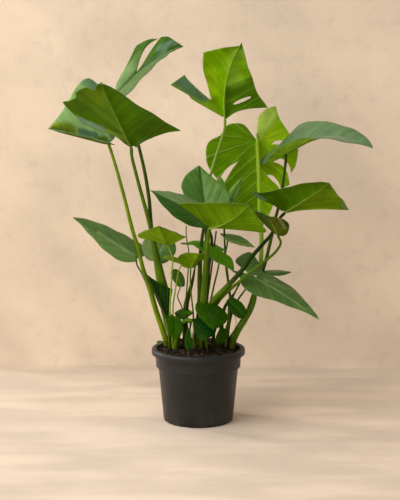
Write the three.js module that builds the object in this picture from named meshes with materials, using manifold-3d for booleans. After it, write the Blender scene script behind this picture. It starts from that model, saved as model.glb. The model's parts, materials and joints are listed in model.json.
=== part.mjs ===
// A potted monstera: a round nursery pot, its soil, the clumps of leaf stalks that stand in it,
// and one thin blade for each leaf. Millimetres, +Z up, +Y away from the viewer.
// The origin is on the pot's axis, on the surface that the pot stands on.
import * as THREE from 'three';
import { mergeVertices } from 'three/addons/utils/BufferGeometryUtils.js';
import Module from 'manifold-3d';

const wasm = await Module();
wasm.setup();

// Pot: a tapered body, a wider collar above it, and a rim that turns out and down.
const POT_HEIGHT = 150;
const FOOT_RADIUS = 71;
const BODY_RADIUS = 81.5; // at the top of the body
const COLLAR_RADIUS = 86;
const COLLAR_BOTTOM = 111;
const RIM_RADIUS = 95;
const RIM_DEPTH = 12.5; // how far the rim hangs down
const RIM_ROOF = 6.5; // thickness of the rim over the hollow under it
const POT_WALL = 2.2;
const POT_ROUND = 2.5; // size of the bevels on the pot's edges
const POT_SIDES = 40;
const DRAIN_HOLES = 8;
const DRAIN_WIDTH = 13;
const DRAIN_HEIGHT = 4.5;
const DRAIN_DEPTH = 7; // how far a drain hole is cut in from the foot's edge

// Soil: a low mound that ends just under the rim.
const SOIL_EDGE = 143;
const SOIL_TOP = 148;
const SOIL_SIDES = 24;

const BLADE = 1; // thickness of a leaf blade
const VEIN_SLOPE = 0.3; // how far a side vein leans to the tip as it runs out to the margin
const VEIN_CLEAR = 0.012; // least way between a vein and the margin that it passes
const WIDEST = 0.15; // where along the midrib a half's reach is measured
const BLADE_ROWS = 2; // rows of facets from the midrib to the margin

const STALK_FOOT = 20; // how far a stalk stands in its crown
const STALK_STEP = 45; // length of one straight piece of a stalk
const STALK_SIDES = 6;
const CROWN_FOOT = 26; // how far a crown stands in the soil
const CROWN_HEIGHT = 3.5; // how far a crown rises out of the soil
const CROWN_SIDES = 12;

const GAP = 0.3; // clearance between touching pieces

const COLOUR = {
  pot: 0x2f2d2b,
  soil: 0x241a12,
  stalk: 0x5f7d1e,
  dark: 0x3c5b24,
  mid: 0x4f7420,
  fresh: 0x6f9a1c,
  blue: 0x5d7f52,
};

function solid(geometry) {
  const bare = geometry.clone();
  bare.deleteAttribute('normal');
  bare.deleteAttribute('uv');
  const merged = mergeVertices(bare, 1e-3);
  const vertProperties = new Float32Array(merged.attributes.position.array);
  const triVerts = new Uint32Array(merged.index.array);
  return new wasm.Manifold(new wasm.Mesh({ numProp: 3, vertProperties, triVerts }));
}

function meshed(position, index) {
  const geometry = new THREE.BufferGeometry();
  geometry.setAttribute('position', new THREE.Float32BufferAttribute(position, 3));
  geometry.setIndex([...index]);
  return geometry;
}

function geometryOf(manifold) {
  const { vertProperties, triVerts } = manifold.getMesh();
  return meshed(vertProperties, triVerts);
}

// A cut can leave a loose scrap: only the largest body is the piece.
function largest(manifold) {
  return manifold.decompose().reduce((best, body) => (body.volume() > best.volume() ? body : best));
}

function named(name, geometry, colour, roughness) {
  const shaded = geometry.index ? geometry.toNonIndexed() : geometry;
  shaded.computeVertexNormals();
  const material = new THREE.MeshStandardMaterial({ color: colour, roughness, metalness: 0 });
  const mesh = new THREE.Mesh(shaded, material);
  mesh.name = name;
  return mesh;
}

// Outer radius of the tapered body at a height.
function bodyRadius(height) {
  return FOOT_RADIUS + (BODY_RADIUS - FOOT_RADIUS) * (height / COLLAR_BOTTOM);
}

function innerRadius(height) {
  const outer = height < COLLAR_BOTTOM + POT_WALL ? bodyRadius(height) : COLLAR_RADIUS;
  return outer - POT_WALL;
}

// A profile of [radius, height] turned round the Z axis.
function lathe(profile, sides) {
  const points = profile.map(([radius, height]) => new THREE.Vector2(radius, height));
  return new THREE.LatheGeometry(points, sides).rotateX(Math.PI / 2);
}

function pot() {
  const rimBottom = POT_HEIGHT - RIM_DEPTH;
  const roof = POT_HEIGHT - RIM_ROOF;
  const shell = solid(lathe([
    [0, 0],
    [FOOT_RADIUS - POT_ROUND, 0],
    [FOOT_RADIUS, POT_ROUND],
    [BODY_RADIUS, COLLAR_BOTTOM],
    [COLLAR_RADIUS - POT_ROUND, COLLAR_BOTTOM],
    [COLLAR_RADIUS, COLLAR_BOTTOM + POT_ROUND],
    [COLLAR_RADIUS, roof],
    [RIM_RADIUS - POT_WALL, roof],
    [RIM_RADIUS - POT_WALL, rimBottom],
    [RIM_RADIUS, rimBottom],
    [RIM_RADIUS, POT_HEIGHT - POT_ROUND],
    [RIM_RADIUS - POT_ROUND, POT_HEIGHT],
    [COLLAR_RADIUS, POT_HEIGHT],
    [COLLAR_RADIUS - POT_WALL, POT_HEIGHT - POT_WALL],
    [COLLAR_RADIUS - POT_WALL, COLLAR_BOTTOM + POT_WALL],
    [innerRadius(COLLAR_BOTTOM), COLLAR_BOTTOM],
    [innerRadius(POT_WALL), POT_WALL],
    [0, POT_WALL],
  ], POT_SIDES));
  const drain = new THREE.BoxGeometry(2 * DRAIN_DEPTH, DRAIN_WIDTH, 2 * DRAIN_HEIGHT);
  drain.translate(FOOT_RADIUS, 0, 0);
  let cut = shell;
  for (let hole = 0; hole < DRAIN_HOLES; hole += 1) {
    const angle = ((hole + 0.5) * 2 * Math.PI) / DRAIN_HOLES;
    cut = cut.subtract(solid(drain.clone().rotateZ(angle)));
  }
  return named('pot', geometryOf(cut), COLOUR.pot, 0.55);
}

// The soil fills the pot round the crowns that stand in it.
function soil(crowns) {
  const edge = innerRadius(SOIL_EDGE) - GAP;
  const rise = SOIL_TOP - SOIL_EDGE;
  const body = solid(lathe([
    [0, POT_WALL + GAP],
    [innerRadius(POT_WALL) - GAP, POT_WALL + GAP],
    [innerRadius(COLLAR_BOTTOM) - GAP, COLLAR_BOTTOM],
    [edge, COLLAR_BOTTOM + POT_WALL + GAP],
    [edge, SOIL_EDGE],
    [edge * 0.9, SOIL_EDGE + rise * 0.5],
    [edge * 0.65, SOIL_EDGE + rise * 0.85],
    [0, SOIL_TOP],
  ], SOIL_SIDES));
  const drilled = crowns.reduce((whole, crown) => whole.subtract(crown), body);
  return named('soil', geometryOf(largest(drilled)), COLOUR.soil, 1);
}

// Half of a heart-shaped blade as [along, across]: along runs from the stalk (0) to the tip (1),
// across is 1 at the half's widest reach. A third entry marks a corner.
const HEART = [
  [-0.09, 0.05, 1],
  [-0.21, 0.33],
  [-0.18, 0.7],
  [0.1, 1],
  [0.42, 0.86],
  [0.74, 0.42],
  [0.9, 0.13],
];

const ROUND = [
  [-0.1, 0.1, 1],
  [-0.16, 0.6],
  [0.15, 1],
  [0.55, 0.85],
  [0.85, 0.4],
];

// Every leaf: the joint with its stalk, the tip, and the widest reach of its two halves. Their
// names, left and right, don't tell which face of the blade is the upper one. arch lifts the middle
// of the midrib, lean slants a half along its length, and vein is the slope of its side veins.
const LEAVES = [
  {
    name: 'leaf_big_left',
    colour: 'mid',
    joint: [-131, -40, 557],
    tip: [-178, -170, 681],
    left: {
      reach: [-260, -60, 642],
      margin: [[0, 0.12, 1], [0.04, 0.4], [0.04, 0.7], [0.15, 1.01, 1], [0.43, 0.67], [0.6, 0.52],
        [0.7, 0.47], [0.76, 0.24, 1], [0.9, 0.12]],
    },
    right: {
      reach: [-33, -90, 591],
      margin: [[-0.01, 0.12, 1], [0.04, 0.4], [0.12, 0.72], [0.15, 1, 1], [0.34, 0.8], [0.52, 0.56],
        [0.78, 0.31], [0.93, 0.14]],
    },
  },
  {
    name: 'leaf_far_left',
    colour: 'blue',
    joint: [-180, 20, 562],
    tip: [-294, -30, 593],
    left: { reach: [-231, -40, 580] },
    right: {
      reach: [-229, 60, 690],
      margin: [[-0.12, 0.1, 1], [-0.28, 0.45], [-0.15, 0.85], [0.02, 1.02], [0.18, 0.98], [0.39, 0.76],
        [0.62, 0.44], [0.8, 0.22]],
    },
  },
  {
    name: 'leaf_top_left',
    colour: 'mid',
    joint: [-159, 10, 662],
    tip: [-30, 50, 754],
    arch: 13,
    left: {
      reach: [-134, 60, 743],
      margin: [[-0.07, 0.25, 1], [-0.04, 0.48], [0.1, 0.76], [0.22, 1.1, 1], [0.36, 0.95],
        [0.44, 0.82, 1], [0.41, 0.74], [0.355, 0.62], [0.3, 0.42], [0.27, 0.12, 1], [0.37, 0.2],
        [0.46, 0.46], [0.59, 0.72, 1], [0.72, 0.6], [0.87, 0.29]],
    },
    right: {
      reach: [-108, -45, 692],
      margin: [[-0.03, 0.3, 1], [-0.09, 0.9], [0, 1.1], [0.15, 1.04], [0.4, 0.85], [0.6, 0.6],
        [0.85, 0.25]],
    },
  },
  {
    name: 'leaf_top_middle',
    colour: 'fresh',
    joint: [53, 0, 613],
    tip: [83, -70, 759],
    left: {
      reach: [-53, -20, 680],
      margin: [[0, 0.05, 1], [0.07, 0.32], [0.1, 0.7], [0.14, 1, 1], [0.33, 0.8, 1], [0.29, 0.6],
        [0.21, 0.31, 1], [0.38, 0.45], [0.54, 0.54], [0.69, 0.58, 1], [0.8, 0.37], [0.94, 0.04, 1]],
    },
    right: {
      reach: [135, -60, 635],
      margin: [[0, 0.05, 1], [0.05, 0.22], [0.11, 0.58], [0.15, 1, 1], [0.34, 0.69], [0.41, 0.6],
        [0.56, 0.43], [0.73, 0.26], [0.94, 0.04]],
    },
  },
  {
    name: 'leaf_hanging_back',
    colour: 'fresh',
    joint: [120, 60, 563],
    tip: [121, 110, 359],
    left: {
      reach: [16, 80, 531],
      vein: 0.5,
      margin: [[-0.09, 0.1, 1], [-0.19, 0.34], [-0.18, 0.53], [-0.09, 0.72], [0.1, 1], [0.24, 0.98],
        [0.41, 0.8, 1], [0.32, 0.62], [0.2, 0.37, 1], [0.33, 0.54], [0.45, 0.7, 1], [0.55, 0.58],
        [0.74, 0.4], [0.91, 0.16]],
    },
    right: {
      reach: [205, 75, 548],
      margin: [[-0.14, 0.02, 1], [-0.26, 0.1], [-0.31, 0.47, 1], [-0.2, 0.55], [-0.03, 0.82, 1],
        [0.03, 0.55], [0.06, 0.34, 1], [0.13, 0.67], [0.2, 1, 1], [0.29, 0.94], [0.4, 0.82, 1],
        [0.32, 0.6], [0.23, 0.25, 1], [0.32, 0.5], [0.46, 0.8, 1], [0.53, 0.72], [0.5, 0.5],
        [0.43, 0.26, 1], [0.57, 0.42], [0.7, 0.39], [0.86, 0.2]],
    },
  },
  {
    name: 'leaf_arching_right',
    colour: 'blue',
    joint: [176, 10, 541],
    tip: [341, -40, 556],
    arch: 30,
    left: { reach: [196, -45, 574], lean: [0, 0, -80] },
    right: {
      reach: [212, 55, 601],
      margin: [[-0.1, 0.1, 1], [-0.3, 0.4], [-0.14, 0.79], [0.1, 1], [0.3, 0.85], [0.5, 0.56],
        [0.75, 0.4], [0.9, 0.2]],
    },
  },
  {
    name: 'leaf_right',
    colour: 'mid',
    joint: [172, -30, 429],
    tip: [249, -120, 494],
    left: {
      reach: [109, -40, 470],
      margin: [[0, 0.08, 1], [0.05, 0.4], [0.06, 0.8], [0.14, 1.05, 1], [0.2, 0.87], [0.38, 0.71],
        [0.56, 0.57], [0.74, 0.44], [0.94, 0.19]],
    },
    right: {
      reach: [294, -60, 436],
      margin: [[0, 0.05, 1], [0.06, 0.22], [0.12, 0.56], [0.15, 1, 1], [0.44, 0.68], [0.69, 0.36]],
    },
  },
  {
    name: 'leaf_centre_front',
    colour: 'fresh',
    joint: [21, -60, 401],
    tip: [96, -150, 455],
    arch: -8,
    left: {
      reach: [-39, -64, 449],
      margin: [[0, 0.08, 1], [0.1, 0.42], [0.13, 0.8], [0.15, 1.02, 1], [0.37, 0.9], [0.64, 0.64],
        [0.81, 0.42], [0.95, 0.16]],
    },
    right: {
      reach: [127, -110, 400],
      margin: [[-0.02, 0.1, 1], [0, 0.6], [-0.04, 1.06], [0.12, 1.02, 1], [0.45, 0.7], [0.67, 0.44],
        [0.92, 0.11]],
    },
  },
  {
    name: 'leaf_centre_upright',
    colour: 'blue',
    joint: [19, -8, 403],
    tip: [2, 36, 517],
    left: {
      reach: [-34, 8, 476],
      margin: [[-0.09, 0.05, 1], [-0.15, 0.35], [-0.04, 0.8], [0.09, 0.97], [0.2, 0.98],
        [0.48, 0.72], [0.82, 0.26]],
    },
    right: {
      reach: [61, 8, 456],
      margin: [[-0.09, 0.05, 1], [-0.12, 0.5], [0.08, 1], [0.25, 0.98], [0.55, 0.6], [0.86, 0.18]],
    },
  },
  {
    name: 'leaf_centre_back',
    colour: 'dark',
    joint: [52, 25, 418],
    tip: [91, 50, 493],
    left: { reach: [42, 45, 489] },
    right: { reach: [74, 32, 447] },
  },
  {
    name: 'leaf_centre_left',
    colour: 'dark',
    joint: [15, -34, 422],
    tip: [-94, -62, 476],
    left: { reach: [-24, -72, 411] },
    right: { reach: [-16, -14, 456] },
  },
  {
    name: 'leaf_low_left',
    colour: 'blue',
    joint: [-126, 15, 331],
    tip: [-250, -20, 418],
    left: {
      reach: [-162, -20, 332],
      margin: [[-0.05, 0.2, 1], [0.03, 0.67], [0.17, 0.97], [0.38, 0.86], [0.62, 0.52], [0.84, 0.17]],
    },
    right: {
      reach: [-138, 45, 366],
      margin: [[-0.05, 0.1, 1], [-0.12, 0.75], [0, 1.1], [0.15, 1.02], [0.33, 0.96], [0.66, 0.68],
        [0.88, 0.3]],
    },
  },
  {
    name: 'leaf_small_bright',
    colour: 'fresh',
    joint: [-60, -40, 364],
    tip: [-76, -105, 411],
    left: {
      reach: [-119, -55, 386],
      margin: [[0, 0.08, 1], [0.09, 0.52], [0.04, 0.85], [0.14, 1], [0.42, 0.76], [0.69, 0.39]],
    },
    right: {
      reach: [-24, -70, 384],
      margin: [[0, 0.08, 1], [0.05, 0.4], [0.16, 1.01, 1], [0.5, 0.65], [0.73, 0.35]],
    },
  },
  {
    name: 'leaf_small_dark',
    colour: 'dark',
    joint: [-84, 10, 330],
    tip: [-66, 40, 381],
    left: { reach: [-113, 20, 361] },
    right: { reach: [-46, 15, 343] },
  },
  {
    name: 'leaf_olive',
    colour: 'mid',
    margin: ROUND,
    joint: [-15, -10, 315],
    tip: [1, -50, 349],
    left: { reach: [-41, -20, 336] },
    right: { reach: [11, -20, 334] },
  },
  {
    name: 'leaf_olive_small',
    colour: 'fresh',
    margin: ROUND,
    joint: [-32, -32, 326],
    tip: [-69, -47, 341],
    left: { reach: [-48, -42, 332] },
    right: { reach: [-46, -26, 339] },
  },
  {
    name: 'leaf_arching_small',
    colour: 'mid',
    joint: [42, -2, 350],
    tip: [-33, -22, 364],
    arch: 4,
    left: {
      reach: [13, -40, 354],
      margin: [[-0.1, 0.05, 1], [-0.4, 0.3], [-0.45, 0.75], [-0.1, 1], [0.25, 0.95], [0.6, 0.7],
        [0.88, 0.35]],
    },
    right: {
      reach: [16, 22, 364],
      margin: [[-0.1, 0.05, 1], [-0.3, 0.5], [-0.1, 1], [0.28, 0.9], [0.72, 0.4]],
    },
  },
  {
    name: 'leaf_narrow_back',
    colour: 'dark',
    joint: [60, 20, 369],
    tip: [115, 10, 353],
    left: { reach: [81, 45, 373] },
    right: { reach: [76, -5, 362] },
  },
  {
    name: 'leaf_low_right',
    colour: 'blue',
    joint: [108, -10, 298],
    tip: [238, -70, 221],
    arch: 6,
    left: {
      reach: [124, 35, 320],
      margin: [[-0.1, 0.15, 1], [-0.24, 0.35], [-0.15, 0.85], [0, 1.25], [0.09, 1.2], [0.16, 0.85],
        [0.2, 0.5, 1], [0.36, 0.61], [0.55, 0.68], [0.77, 0.55], [0.92, 0.25]],
    },
    right: {
      reach: [94, -55, 277],
      margin: [[-0.09, 0.05, 1], [-0.25, 0.22], [-0.1, 0.4], [0.02, 0.75], [0.17, 1], [0.32, 0.93],
        [0.62, 0.5], [0.87, 0.14]],
    },
  },
  {
    name: 'leaf_thin_right',
    colour: 'dark',
    joint: [138, 20, 301],
    tip: [189, 10, 302],
    left: { reach: [160, 48, 301] },
    right: { reach: [157, 4, 296] },
  },
  {
    name: 'leaf_folded_right',
    colour: 'mid',
    joint: [157, -35, 385],
    tip: [134, -100, 430],
    left: { reach: [113, -45, 428] },
    right: { reach: [177, -55, 409] },
  },
  {
    name: 'leaf_hanging_left',
    colour: 'dark',
    joint: [-65, -22, 215],
    tip: [-104, -34, 307],
    left: { reach: [-84, -38, 268] },
    right: {
      reach: [-51, -22, 271],
      margin: [[0, 0.1, 1], [0.05, 0.5], [0.17, 1.02, 1], [0.45, 0.62], [0.8, 0.2]],
    },
  },
  {
    name: 'leaf_round_left',
    colour: 'mid',
    margin: ROUND,
    joint: [-35, -15, 279],
    tip: [-49, -8, 312],
    left: { reach: [-52, -10, 292] },
    right: { reach: [-28, -10, 294] },
  },
  {
    name: 'leaf_ground_dark',
    colour: 'dark',
    margin: ROUND,
    joint: [-37, 5, 215],
    tip: [-16, -8, 225],
    left: { reach: [-33, 20, 223] },
    right: { reach: [-33, -15, 215] },
  },
  {
    name: 'leaf_ground_left',
    colour: 'dark',
    margin: ROUND,
    joint: [-45, -25, 211],
    tip: [-50, -55, 181],
    left: { reach: [-35, -38, 199] },
    right: { reach: [-61, -38, 204] },
  },
  {
    name: 'leaf_ground_front',
    colour: 'dark',
    joint: [-11, -35, 211],
    tip: [19, -72, 176],
    left: { reach: [21, -48, 212] },
    right: { reach: [-7, -55, 193] },
  },
  {
    name: 'leaf_ground_broad',
    colour: 'dark',
    joint: [15, -45, 245],
    tip: [30, -75, 199],
    left: { reach: [59, -52, 229] },
    right: { reach: [-3, -52, 245] },
  },
  {
    name: 'leaf_ground_right',
    colour: 'dark',
    margin: ROUND,
    joint: [61, -35, 252],
    tip: [91, -62, 223],
    left: { reach: [85, -38, 250] },
    right: { reach: [65, -52, 233] },
  },
  {
    name: 'leaf_ground_tip',
    colour: 'mid',
    joint: [-18, -50, 196],
    tip: [-21, -68, 155],
    left: { reach: [-11, -58, 177] },
    right: { reach: [-27, -58, 177] },
  },
  {
    name: 'leaf_ground_short',
    colour: 'dark',
    margin: ROUND,
    joint: [48, -20, 192],
    tip: [42, -32, 165],
    left: { reach: [58, -24, 178] },
    right: { reach: [36, -24, 178] },
  },
  {
    name: 'leaf_seedling',
    colour: 'mid',
    margin: ROUND,
    joint: [-72, 8, 159],
    tip: [-84, 8, 156],
    left: { reach: [-78, -2, 156] },
    right: { reach: [-81, 18, 159] },
  },
];

const vector = (point) => new THREE.Vector3(...point);

// The midrib is a parabola from the joint to the tip, and runs on straight behind the joint.
function midribOf(leaf) {
  const joint = vector(leaf.joint);
  const tip = vector(leaf.tip);
  const knee = joint.clone().lerp(tip, 0.5);
  knee.z += 2 * (leaf.arch ?? 0);
  const curve = new THREE.QuadraticBezierCurve3(joint, knee, tip);
  const start = knee.clone().sub(joint).multiplyScalar(2);
  return (along) => (along < 0 ? joint.clone().addScaledVector(start, along) : curve.getPoint(along));
}

// Where a point [along, across] of a half lies.
function placer(leaf, side) {
  const midrib = midribOf(leaf);
  const half = leaf[side];
  const reach = vector(half.reach).sub(midrib(WIDEST));
  const lean = vector(half.lean ?? [0, 0, 0]);
  return (along, across) => {
    const out = reach.clone().addScaledVector(lean, along - WIDEST);
    return midrib(along).addScaledVector(out, across);
  };
}

// A margin runs smoothly between its corners, from the joint to the tip.
function marginPoints(margin) {
  const all = [...margin, [1, 0, 1]];
  const points = [];
  let run = [];
  all.forEach(([along, across, corner], index) => {
    run.push(new THREE.Vector2(along, across));
    if ((corner || index === all.length - 1) && run.length > 1) {
      const smooth = new THREE.SplineCurve(run).getPoints(run.length - 1);
      points.push(...(points.length ? smooth.slice(1) : smooth));
      run = [run[run.length - 1]];
    }
  });
  return points;
}

// Where the vein to each point of a margin starts on the midrib: a slope back from the point, but
// clear of the rest of the margin, so that no vein leaves the blade and no two cross.
function veinRoots(outline, slope) {
  const limits = outline.map(({ x: along, y: across }, index) => {
    const limit = { low: 0, high: 1 };
    outline.forEach((other, place) => {
      const share = other.y / across;
      if (share < 1) {
        const touch = (other.x - along * share) / (1 - share);
        const clear = VEIN_CLEAR * Math.min(1, 4 * (1 - share));
        if (place < index) {
          limit.low = Math.max(limit.low, touch + clear);
        } else {
          limit.high = Math.min(limit.high, touch - clear);
        }
      }
    });
    return limit;
  });
  const roots = outline.map(({ x: along, y: across }, index) => {
    const { low, high } = limits[index];
    return THREE.MathUtils.clamp(along - slope * across, low, Math.max(0, high));
  });
  for (let k = roots.length - 2; k >= 0; k -= 1) {
    roots[k] = Math.min(roots[k], roots[k + 1]);
  }
  for (let k = 1; k < roots.length; k += 1) {
    roots[k] = Math.max(roots[k], roots[k - 1], limits[k].low);
  }
  return roots.map((root) => Number(root.toFixed(4)));
}

// A half as strips of points, one for each point of its margin, from the midrib out along a vein.
function halfStrips(margin, slope) {
  const outline = marginPoints(margin);
  const roots = veinRoots(outline, slope);
  return outline.map(({ x: along, y: across }, k) => {
    const strip = [];
    for (let row = 1; row <= BLADE_ROWS; row += 1) {
      const out = row / BLADE_ROWS;
      strip.push([roots[k] + (along - roots[k]) * out, across * out]);
    }
    return { root: roots[k], strip };
  });
}

// Twice the area of a triangle of [along, across] points, negative if it is turned over.
function turn([ax, ay], [bx, by], [cx, cy]) {
  return (bx - ax) * (cy - ay) - (by - ay) * (cx - ax);
}

// Four corners as two triangles, cut along the diagonal that leaves neither of them turned over.
function halved(a, b, c, d) {
  const first = Math.max(turn(a, b, c), turn(a, c, d));
  const second = Math.max(turn(a, b, d), turn(b, c, d));
  return first <= second ? [[a, b, c], [a, c, d]] : [[a, b, d], [b, c, d]];
}

// The blade's middle surface as vertices and triangles.
function bladeSurface(leaf) {
  const halves = ['left', 'right'].map((side) => {
    const { margin = leaf.margin ?? HEART, vein = VEIN_SLOPE } = leaf[side];
    return { side, place: placer(leaf, side), strips: halfStrips(margin, vein) };
  });
  const keys = new Map();
  const vertices = [];
  const vertex = (half, along, across) => {
    const key = `${across > 1e-6 ? half.side : ''}${along.toFixed(4)},${across.toFixed(4)}`;
    if (!keys.has(key)) {
      keys.set(key, vertices.length);
      vertices.push(half.place(along, across));
    }
    return keys.get(key);
  };
  const roots = new Set(halves.flatMap((half) => half.strips.map(({ root }) => root)));
  const ribs = [...roots].sort((a, b) => a - b);
  const triangles = [];
  halves.forEach((half) => {
    const face = (a, b, c) => {
      if (a !== b && b !== c && c !== a) {
        triangles.push(half.side === 'left' ? [a, c, b] : [a, b, c]);
      }
    };
    for (let k = 0; k + 1 < half.strips.length; k += 1) {
      const here = half.strips[k];
      const next = half.strips[k + 1];
      const inner = vertex(half, ...here.strip[0]);
      const between = ribs.filter((rib) => rib >= here.root && rib <= next.root);
      const foot = between.map((rib) => vertex(half, rib, 0));
      for (let i = 0; i + 1 < foot.length; i += 1) {
        face(foot[i], inner, foot[i + 1]);
      }
      face(foot[foot.length - 1], inner, vertex(half, ...next.strip[0]));
      for (let row = 0; row + 1 < here.strip.length; row += 1) {
        const corners = [here.strip[row], here.strip[row + 1], next.strip[row + 1], next.strip[row]];
        halved(...corners).forEach((points) => {
          face(...points.map((point) => vertex(half, ...point)));
        });
      }
    }
  });
  return { vertices, triangles };
}

// The middle surface thickened by the same offset on both faces, and closed along its edge.
function bladeGeometry(leaf, thickness) {
  const { vertices, triangles } = bladeSurface(leaf);
  const normals = vertices.map(() => new THREE.Vector3());
  triangles.forEach(([a, b, c]) => {
    const edge = vertices[b].clone().sub(vertices[a]);
    const normal = edge.cross(vertices[c].clone().sub(vertices[a]));
    [a, b, c].forEach((index) => normals[index].add(normal));
  });
  const position = [];
  [0.5, -0.5].forEach((offset) => vertices.forEach((point, index) => {
    const shifted = point.clone().addScaledVector(normals[index].clone().normalize(), offset * thickness);
    position.push(shifted.x, shifted.y, shifted.z);
  }));
  const under = vertices.length;
  const edges = new Map();
  const index = [];
  triangles.forEach(([a, b, c]) => {
    index.push(a, b, c, a + under, c + under, b + under);
    [[a, b], [b, c], [c, a]].forEach(([from, to]) => {
      if (!edges.delete(`${to}-${from}`)) {
        edges.set(`${from}-${to}`, [from, to]);
      }
    });
  });
  edges.forEach(([from, to]) => {
    index.push(from, from + under, to + under, from, to + under, to);
  });
  return meshed(position, index);
}

// A clump of stalks grows from one crown in the soil: its centre, and half its width on X and Y.
const CLUMPS = {
  stalks_left_back: { centre: [-61, 36], half: [10, 11] },
  stalks_left: { centre: [-49, 6], half: [16, 18] },
  stalks_centre: { centre: [4, 16], half: [29, 27] },
  stalks_right: { centre: [55, 33], half: [18, 17] },
};

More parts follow.
